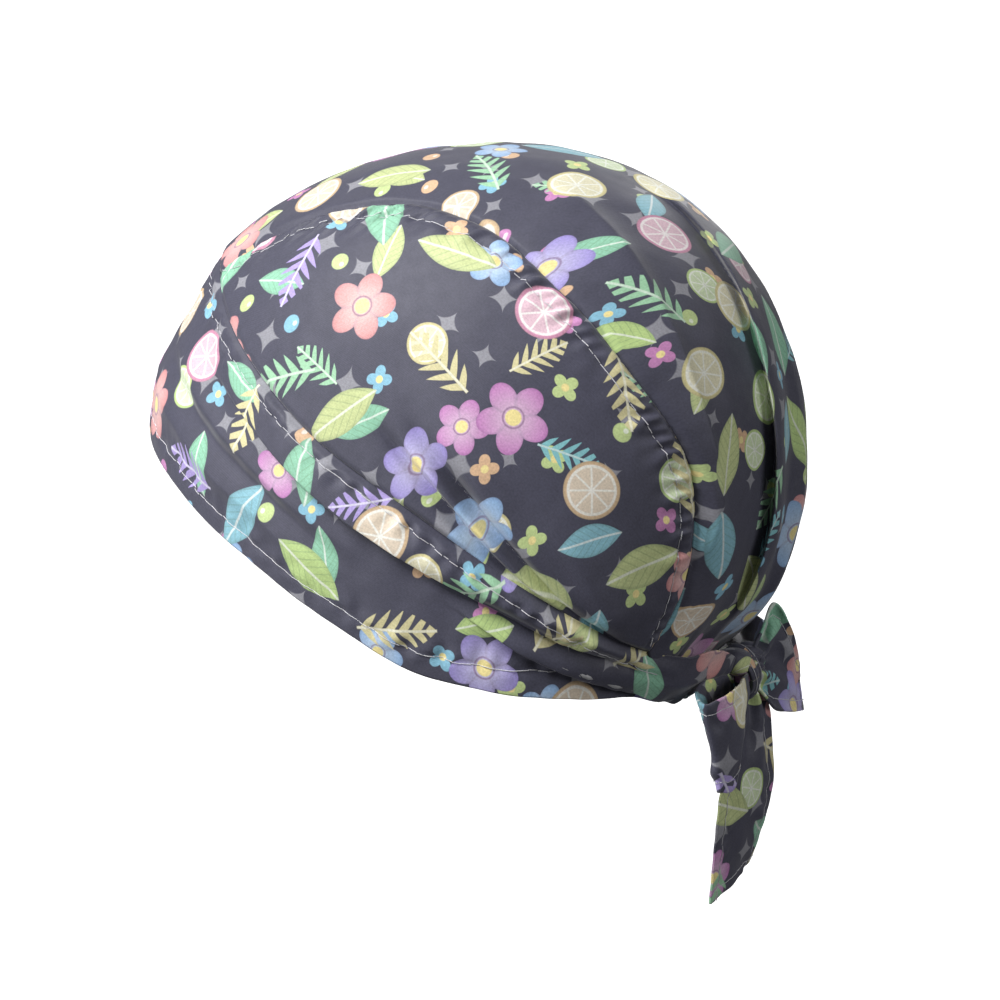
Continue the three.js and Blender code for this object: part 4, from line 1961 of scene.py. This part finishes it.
@dataclass
class TieRibbon(Panel):
    """Hemmed end of the band beyond the knot, of doubled cloth."""

    wall: float = 0.9
    doubled: bool = True
    pattern_grid: tuple[int, int] = (61, 17)
    sections: SmoothTable = LONG_SECTIONS
    pleats: Pleats = Pleats(0, 0, 1)
    crumple: Crumple = Crumple(81, 17.0, 0.22)
    hem_line: float = 3.6
    hem_seed: int = 91
    hem_widths: tuple[float, float] = (12.0, 20.0)
    edge_row: Row = Row(0.3, 0.985, 300)
    row_share: float = 0.4
    end_hem: bool = True
    end_row: Row = Row(0.08, 0.92, 120)
    end_place: float = 0.95
    face: int = 1
    front_step: float = 0.01

    def read(self, column: str, along: Array) -> Array:
        """Values of a column of the sections at shares along."""
        return self.sections.read(column, along * (len(self.sections.rows) - 1))

    def edge(self, prefix: str, along: Array) -> Array:
        """Points of one edge at shares along."""
        return np.stack([self.read(prefix + axis, along) for axis in "xyz"], -1)

    def across(self, along: Array) -> Array:
        """Way from one edge to the other at shares along."""
        return self.edge("f", along) - self.edge("e", along)

    def width(self, along: Array) -> Array:
        """Width at shares along, in mm."""
        return np.linalg.norm(self.across(along), axis=-1)

    def bare(self, along: Array, across: Array) -> Array:
        """Points of the ribbon without bow or pleats, at shares along and across."""
        return lerp(self.edge("e", along), self.edge("f", along), across[..., None])

    def front(self, along: Array, across: Array) -> Array:
        """Unit normals of the ribbon, on the side of its bow."""
        onward = self.bare(along + self.front_step, across) - self.bare(along - self.front_step, across)
        return unit(np.cross(onward, self.across(along)))

    def surface(self, along: Array, share: Array) -> tuple[Array, Array]:
        """Points on the right side of the cloth, and their flat places.

        Args:
            along: Shares along the ribbon.
            share: Shares of its width.

        Returns:
            Points and flat places, in mm.
        """
        flat = self.pattern.read(along, share)
        bow = self.read("bow", along) * np.sin(math.pi * share)
        fade = 1 - smoothstep(along, 0.0, self.pleats.fade)
        pleat = self.pleats.height * fade * np.sin(math.tau * self.pleats.count * share)
        width = self.width(along)
        side = np.minimum(share, 1 - share) * width
        sewn = SEWING.stitched(side - self.hem_line, flat[..., 0], self.hem_seed)
        sewn = sewn * smoothstep(width, *self.hem_widths)
        fine = self.wall / 2 + hemmed(side) * (self.crumple.rise(flat) + sewn)
        rise = bow + pleat + self.face * fine
        return self.bare(along, share) + self.front(along, share) * rise[..., None], flat

    def facing(self, points: Array, normals: Array) -> float:
        """Sign that turns grid normals to the right side of the cloth."""
        return float(self.face)

    def stitch_lines(self) -> list[StitchLine]:
        """Rows along the two edges, and across a free end.

        Returns:
            The rows.
        """
        along = self.edge_row.places()
        share = np.minimum(self.hem_line / self.width(along), self.row_share)
        rows = [self.stitch(along, share), self.stitch(along, 1 - share)]
        if self.end_hem:
            across = self.end_row.places()
            rows.append(self.stitch(np.full_like(across, self.end_place), across))
        return rows


class Lobe(NamedTuple):
    """One bulge of gathered cloth: its middle, its reach, and the lean and size of its gathers."""

    middle: tuple[float, float, float]
    reach: tuple[float, float, float]
    lean: float
    pitch: float
    height: float
    power: float = 2.0


@dataclass(frozen=True)
class Turn:
    """Turn of folded tie round the knot: a ring about a level axis that leans, with sewn edges."""

    middle: tuple[float, float, float] = (0.4, -0.6, -1.6)
    lean: float = -20.0
    deep: float = 6.9
    tall: float = 8.8
    half_width: float = 3.8
    roll: float = 1.1
    roll_power: int = 5
    gather: float = 0.3
    gather_pitch: float = 3.4
    gather_sway: float = 0.7
    gather_phase: float = 1.0
    sway: float = 0.9
    sway_phase: float = 0.6
    wall: float = 2.2
    grid: tuple[int, int] = (180, 41)
    row: Row = Row(-0.24, 0.27, 160)
    row_places: tuple[float, float] = (-0.62, 0.62)
    normal_steps: tuple[float, float] = (0.004, 0.01)

    def surface(self, around: Array, across: Array) -> Array:
        """Points of the turn's outer face.

        Args:
            around: Shares of the way round.
            across: Places across, from -1 to 1.

        Returns:
            Points in mm from the knot's middle.
        """
        angle = around * math.tau
        lean = math.radians(self.lean)
        axis = np.array([math.cos(lean), 0.0, math.sin(lean)])
        upright = np.array([-math.sin(lean), 0.0, math.cos(lean)])
        place = math.pi * across * self.half_width / self.gather_pitch
        wave = np.abs(np.sin(place + self.gather_sway * np.sin(angle + self.gather_phase)))
        swell = self.gather * wave - self.roll * np.abs(across) ** self.roll_power
        deep, tall = np.cos(angle) * (self.deep + swell), np.sin(angle) * (self.tall + swell)
        side = self.half_width * across + self.sway * np.sin(angle * 2 + self.sway_phase)
        ring = deep[..., None] * np.array([0.0, 1.0, 0.0]) + tall[..., None] * upright
        return ring + side[..., None] * axis + np.array(self.middle)

    def stitch(self, across: float) -> StitchLine:
        """Row of stitches round the turn's outer half.

        Args:
            across: Place across, from -1 to 1.

        Returns:
            The row's path from the knot's middle.
        """
        around = self.row.places()
        place = np.full_like(around, across)
        points = self.surface(around, place)
        onward, sideways = self.normal_steps
        ahead = self.surface(around + onward, place)
        beside = self.surface(around, place + sideways)
        normals = unit(np.cross(beside - points, ahead - points))
        outward = np.sign((normals * (points - np.array(self.middle))).sum(-1, keepdims=True))
        return StitchLine(points, normals * outward)


class Shell(NamedTuple):
    """Closed mesh: points in mm, faces of four and a flat place in mm for each point."""

    points: Array
    faces: Array
    flat: Array


@dataclass
class Knot:
    """Half-bow knot: bulges of gathered cloth under one turn that goes round them."""

    name: str = "knot"
    slot: str = "tie_cloth"
    center: tuple[float, float, float] = (-1.0, 78.0, -66.0)
    shift: tuple[float, float] = (2350.0, 140.0)
    turn_shift: tuple[float, float] = (60.0, 20.0)
    flat_reach: float = 9.0
    slices: int = 240
    stacks: int = 150
    pole: float = 0.02
    probe: Row = Row(1.0, 16.0, 76)
    ridge_sway: float = 0.8
    ridge_base: float = 0.6
    turn: Turn = Turn()
    lobes: tuple[Lobe, ...] = (
        Lobe((4.2, -0.8, 2.6), (8.6, 5.6, 4.6), 12.0, 30.0, 0.3, 2.6),
        Lobe((-4.0, 1.0, 0.8), (7.0, 5.6, 7.0), -70.0, 2.6, 0.7),
        Lobe((-1.4, 0.6, -4.8), (5.6, 5.0, 5.8), 8.0, 2.2, 0.8),
        Lobe((0.0, 0.0, 0.0), (6.0, 6.2, 7.4), 0.0, 3.0, 0.4),
    )

    def lobe_reach(self, lobe: Lobe, way: Array) -> Array:
        """Distances from the knot's middle to the far side of one bulge.

        Args:
            lobe: The bulge.
            way: Unit directions.

        Returns:
            One distance for each direction, 0 where it misses the bulge.
        """
        steps = self.probe.places()
        lean = math.radians(lobe.lean)
        turn = np.array([
            [math.cos(lean), 0, math.sin(lean)], [0, 1, 0], [-math.sin(lean), 0, math.cos(lean)],
        ])
        local = (way[..., None, :] * steps[:, None] - np.array(lobe.middle)) @ turn.T
        depth = (np.abs(local / np.array(lobe.reach)) ** lobe.power).sum(-1)
        inside = depth < 1
        last = steps.size - 1 - np.argmax(inside[..., ::-1], axis=-1)
        after = np.minimum(last + 1, steps.size - 1)
        low, high, fold = (
            np.take_along_axis(values, index[..., None], -1)[..., 0]
            for values, index in ((depth, last), (depth, after), (local[..., 0], last))
        )
        found = lerp(steps[last], steps[after], np.clip((1 - low) / np.maximum(high - low, TINY), 0, 1))
        ridge = np.abs(np.sin(math.pi * fold / lobe.pitch + self.ridge_sway * way[..., 1])) - self.ridge_base
        return np.where(inside.any(-1), found + lobe.height * ridge, 0.0)

    def reach(self, way: Array) -> Array:
        """Distances from the knot's middle to its gathered cloth along unit directions."""
        found = [self.lobe_reach(lobe, way) for lobe in self.lobes]
        return np.maximum(np.max(found, axis=0), 1.0)

    def core(self) -> Shell:
        """Makes the gathered cloth, closed at its two poles.

        Returns:
            Its mesh about the knot's middle.
        """
        polar, turn = np.meshgrid(
            np.linspace(self.pole, math.pi - self.pole, self.stacks),
            np.linspace(0, math.tau, self.slices, endpoint=False), indexing="ij",
        )
        way = np.stack([np.cos(polar), np.sin(polar) * np.cos(turn), np.sin(polar) * np.sin(turn)], -1)
        points = way * self.reach(way)[..., None]
        index = np.arange(polar.size).reshape(polar.shape)
        beside = np.roll(index, -1, axis=1)
        sides = np.stack([index[:-1], index[1:], beside[1:], beside[:-1]], -1).reshape(-1, 4)
        caps: list[Array] = []
        for row, pole in ((index[0], polar.size), (index[-1][::-1], polar.size + 1)):
            corners = [np.full(self.slices // 2, pole), row[0::2], row[1::2], np.roll(row, -2)[0::2]]
            caps.append(np.stack(corners, -1))
        ends = np.stack([points[0].mean(0), points[-1].mean(0)])
        flat = np.stack([turn, polar], -1).reshape(-1, 2) * self.flat_reach
        return Shell(
            np.concatenate([points.reshape(-1, 3), ends]), np.concatenate([sides, *caps]),
            np.concatenate([flat, flat[:2]]),
        )

    def wrapped(self) -> Shell:
        """Makes the turn, a closed ring.

        Returns:
            Its mesh about the knot's middle.
        """
        rounds, columns = self.turn.grid
        around, across = np.meshgrid(
            np.linspace(0, 1, rounds, endpoint=False), np.linspace(-1, 1, columns), indexing="ij",
        )
        outer = self.turn.surface(around, across)
        inner = outer - unit(outer - np.array(self.turn.middle)) * self.turn.wall
        points = np.concatenate([outer, inner[:, ::-1]], axis=1)
        index = np.arange(points.shape[0] * points.shape[1]).reshape(points.shape[:2])
        ahead, beside = np.roll(index, -1, axis=0), np.roll(index, -1, axis=1)
        corner = np.roll(ahead, -1, axis=1)
        faces = np.stack([index, beside, corner, ahead], -1).reshape(-1, 4)
        girth = math.pi * (self.turn.deep + self.turn.tall)
        flat = np.stack([around * girth, across * self.turn.half_width], -1)
        flat = np.concatenate([flat, flat[:, ::-1]], axis=1)
        return Shell(points.reshape(-1, 3), faces, flat.reshape(-1, 2) + np.array(self.turn_shift))

    def build(self, cloth: ClothSet, sewing: Stitching) -> bpy.types.Object:
        """Makes the knot and its stitches, and attaches them to the root body.

        Args:
            cloth: Materials.
            sewing: Maker of stitches.

        Returns:
            The knot.
        """
        core, ring = self.core(), self.wrapped()
        center = np.array(self.center)
        points = np.concatenate([core.points, ring.points]) + center
        faces = np.concatenate([core.faces, ring.faces + len(core.points)])
        flat = np.concatenate([core.flat, ring.flat]) + np.array(self.shift)
        piece = mesh_object(self.name + "_cloth", points, faces, flat, np.zeros(len(faces)))
        cloth.dress(piece)
        join_frame(piece, self.name, self.slot)
        rows = [self.turn.stitch(across) for across in self.turn.row_places]
        lines = [StitchLine(row.points + center, row.normals) for row in rows]
        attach(sewing.sew(self.name + "_stitches", lines), "root")
        LOG.info("%s: %d faces", piece.name, len(piece.data.polygons))
        return piece


class Lamp(NamedTuple):
    """Soft square light: its place along the camera's axes in metres, its side and its watts."""

    name: str
    right: float
    up: float
    back: float
    size: float
    power: float


LAMPS = (
    Lamp("key", -1.012, 1.232, 0.825, 0.7, 54.0),
    Lamp("bounce", -1.65, -0.11, 0.77, 0.9, 20.0),
    Lamp("fill", 1.8, 0.42, 0.96, 1.0, 16.0),
    Lamp("rear", 0.6, 1.08, -1.08, 0.8, 5.0),
)


@dataclass
class Studio:
    """White sweep, soft lights and the camera."""

    azimuth: float = 110.0
    elevation: float = 8.0
    distance: float = 1.3
    lens: float = 145.1
    sensor: float = 36.0
    far: float = 20.0
    aim_right: float = -2.87 * MM
    aim_up: float = -15.45 * MM
    floor: float = -2.4
    flat_rings: tuple[float, float] = (1.2, 2.0)
    sweep: float = 3.2
    wall_top: float = 14.0
    slices: int = 64
    curve_steps: int = 12
    sky: float = 0.1

    def axes(self) -> tuple[Vector, Vector, Vector]:
        """Camera's axes.

        Returns:
            Unit directions to its right, up and back.
        """
        turn, climb = math.radians(self.azimuth), math.radians(self.elevation)
        right = Vector((math.cos(turn), math.sin(turn), 0.0))
        level = Vector((math.sin(turn), -math.cos(turn), 0.0))
        back = level * math.cos(climb) + Vector((0.0, 0.0, math.sin(climb)))
        return right, back.cross(right), back

    def build_camera(self) -> None:
        """Sets the camera at the view of the reference."""
        right, up, back = self.axes()
        aim = right * self.aim_right + up * self.aim_up
        data = bpy.data.cameras.new("camera")
        data.lens = self.lens
        data.sensor_width = self.sensor
        data.clip_end = self.far
        camera = bpy.data.objects.new("camera", data)
        turn = Matrix((right, up, back)).transposed().to_4x4()
        camera.matrix_world = Matrix.Translation(aim + back * self.distance) @ turn
        bpy.context.scene.collection.objects.link(camera)
        bpy.context.scene.camera = camera

    def build_sweep(self) -> None:
        """Makes the round floor, which curves up into a wall on every side."""
        flat_end = self.flat_rings[-1]
        rise = self.sweep - flat_end
        profile = [(reach, 0.0) for reach in self.flat_rings]
        for k in range(1, self.curve_steps + 1):
            angle = math.pi / 2 * k / self.curve_steps
            profile.append((flat_end + rise * math.sin(angle), rise * (1 - math.cos(angle))))
        profile.append((self.sweep, self.wall_top))
        turns = [math.tau * k / self.slices for k in range(self.slices)]
        points = [(0.0, 0.0, self.floor)]
        for reach, height in profile:
            points += [(reach * math.cos(t), reach * math.sin(t), self.floor + height) for t in turns]
        pairs = [(1 + k, 1 + (k + 1) % self.slices) for k in range(self.slices)]
        faces: list[tuple[int, ...]] = [(0, a, b) for a, b in pairs]
        for ring in range(len(profile) - 1):
            near, far = ring * self.slices, (ring + 1) * self.slices
            faces += [(a + near, a + far, b + far, b + near) for a, b in pairs]
        mesh = bpy.data.meshes.new("studio_floor")
        mesh.from_pydata(points, [], faces)
        mesh.shade_smooth()
        mesh.materials.append(FloorFinish().make())
        floor = bpy.data.objects.new("studio_floor", mesh)
        floor.visible_diffuse = False
        floor.visible_glossy = False
        bpy.context.scene.collection.objects.link(floor)

    def build_lights(self) -> None:
        """Hangs the lamps, which look at the cap, under a pale sky."""
        right, up, back = self.axes()
        for lamp in LAMPS:
            place = right * lamp.right + up * lamp.up + back * lamp.back
            data = bpy.data.lights.new(lamp.name, "AREA")
            data.shape = "SQUARE"
            data.size = lamp.size
            data.energy = lamp.power
            light = bpy.data.objects.new(lamp.name, data)
            light.location = place
            light.rotation_euler = (-place).to_track_quat("-Z", "Y").to_euler()
            bpy.context.scene.collection.objects.link(light)
        world = bpy.data.worlds.new("studio_sky")
        world.use_nodes = True
        sky = world.node_tree.nodes["Background"]
        sky.inputs["Color"].default_value = (1.0, 1.0, 1.0, 1.0)
        sky.inputs["Strength"].default_value = self.sky
        bpy.context.scene.world = world
        bpy.context.scene.view_settings.view_transform = "Standard"

    def build(self) -> None:
        """Builds the whole studio."""
        self.build_camera()
        self.build_sweep()
        self.build_lights()
        LOG.info("studio: camera at azimuth %.0f, elevation %.0f", self.azimuth, self.elevation)


def main() -> None:
    """Builds the studio and every piece of the cap, in order."""
    logging.basicConfig(level=logging.INFO, format="%(message)s")
    Studio().build()
    cloth = ClothSet.make()
    sewing = Stitching(cloth.thread)
    knotted, around = ("knot",), ("band",)
    panels: list[Panel] = [
        Band("band", "band_cloth", 430, 108, Held.STRETCHED, knotted, (0.0, 0.0)),
        SidePanel("side_panel_left", "side_cloth", 380, 112, Held.STRETCHED, around, (37.0, 12.0)),
        SidePanel(
            "side_panel_right", "side_cloth", 380, 112, Held.STRETCHED, around, (451.0, 230.0),
            side=Side.RIGHT,
        ),
        CenterPanel("center_panel", "center_cloth", 165, 270, Held.GATHERED, around, (913.0, 77.0)),
        TieRibbon(
            "tie_loop", "tie_cloth", 170, 46, Held.FOLDED, knotted, (1403.0, 55.0),
            sections=LOOP_SECTIONS, edge_row=Row(0.3, 0.8, 300), end_hem=False,
        ),
        TieRibbon(
            "tie_tail_long", "tie_cloth", 130, 56, Held.HUNG, knotted, (1711.0, 91.0),
            sections=LONG_SECTIONS, pleats=Pleats(2.0, 1.7, 0.75),
        ),
        TieRibbon(
            "tie_tail_short", "tie_cloth", 110, 70, Held.HUNG, knotted, (2017.0, 35.0),
            sections=SHORT_SECTIONS, pleats=Pleats(2.5, 2.0, 1.0), face=-1,
        ),
    ]
    for panel in panels:
        panel.build(cloth, sewing)
    Knot().build(cloth, sewing)


if __name__ == "__main__":
    main()
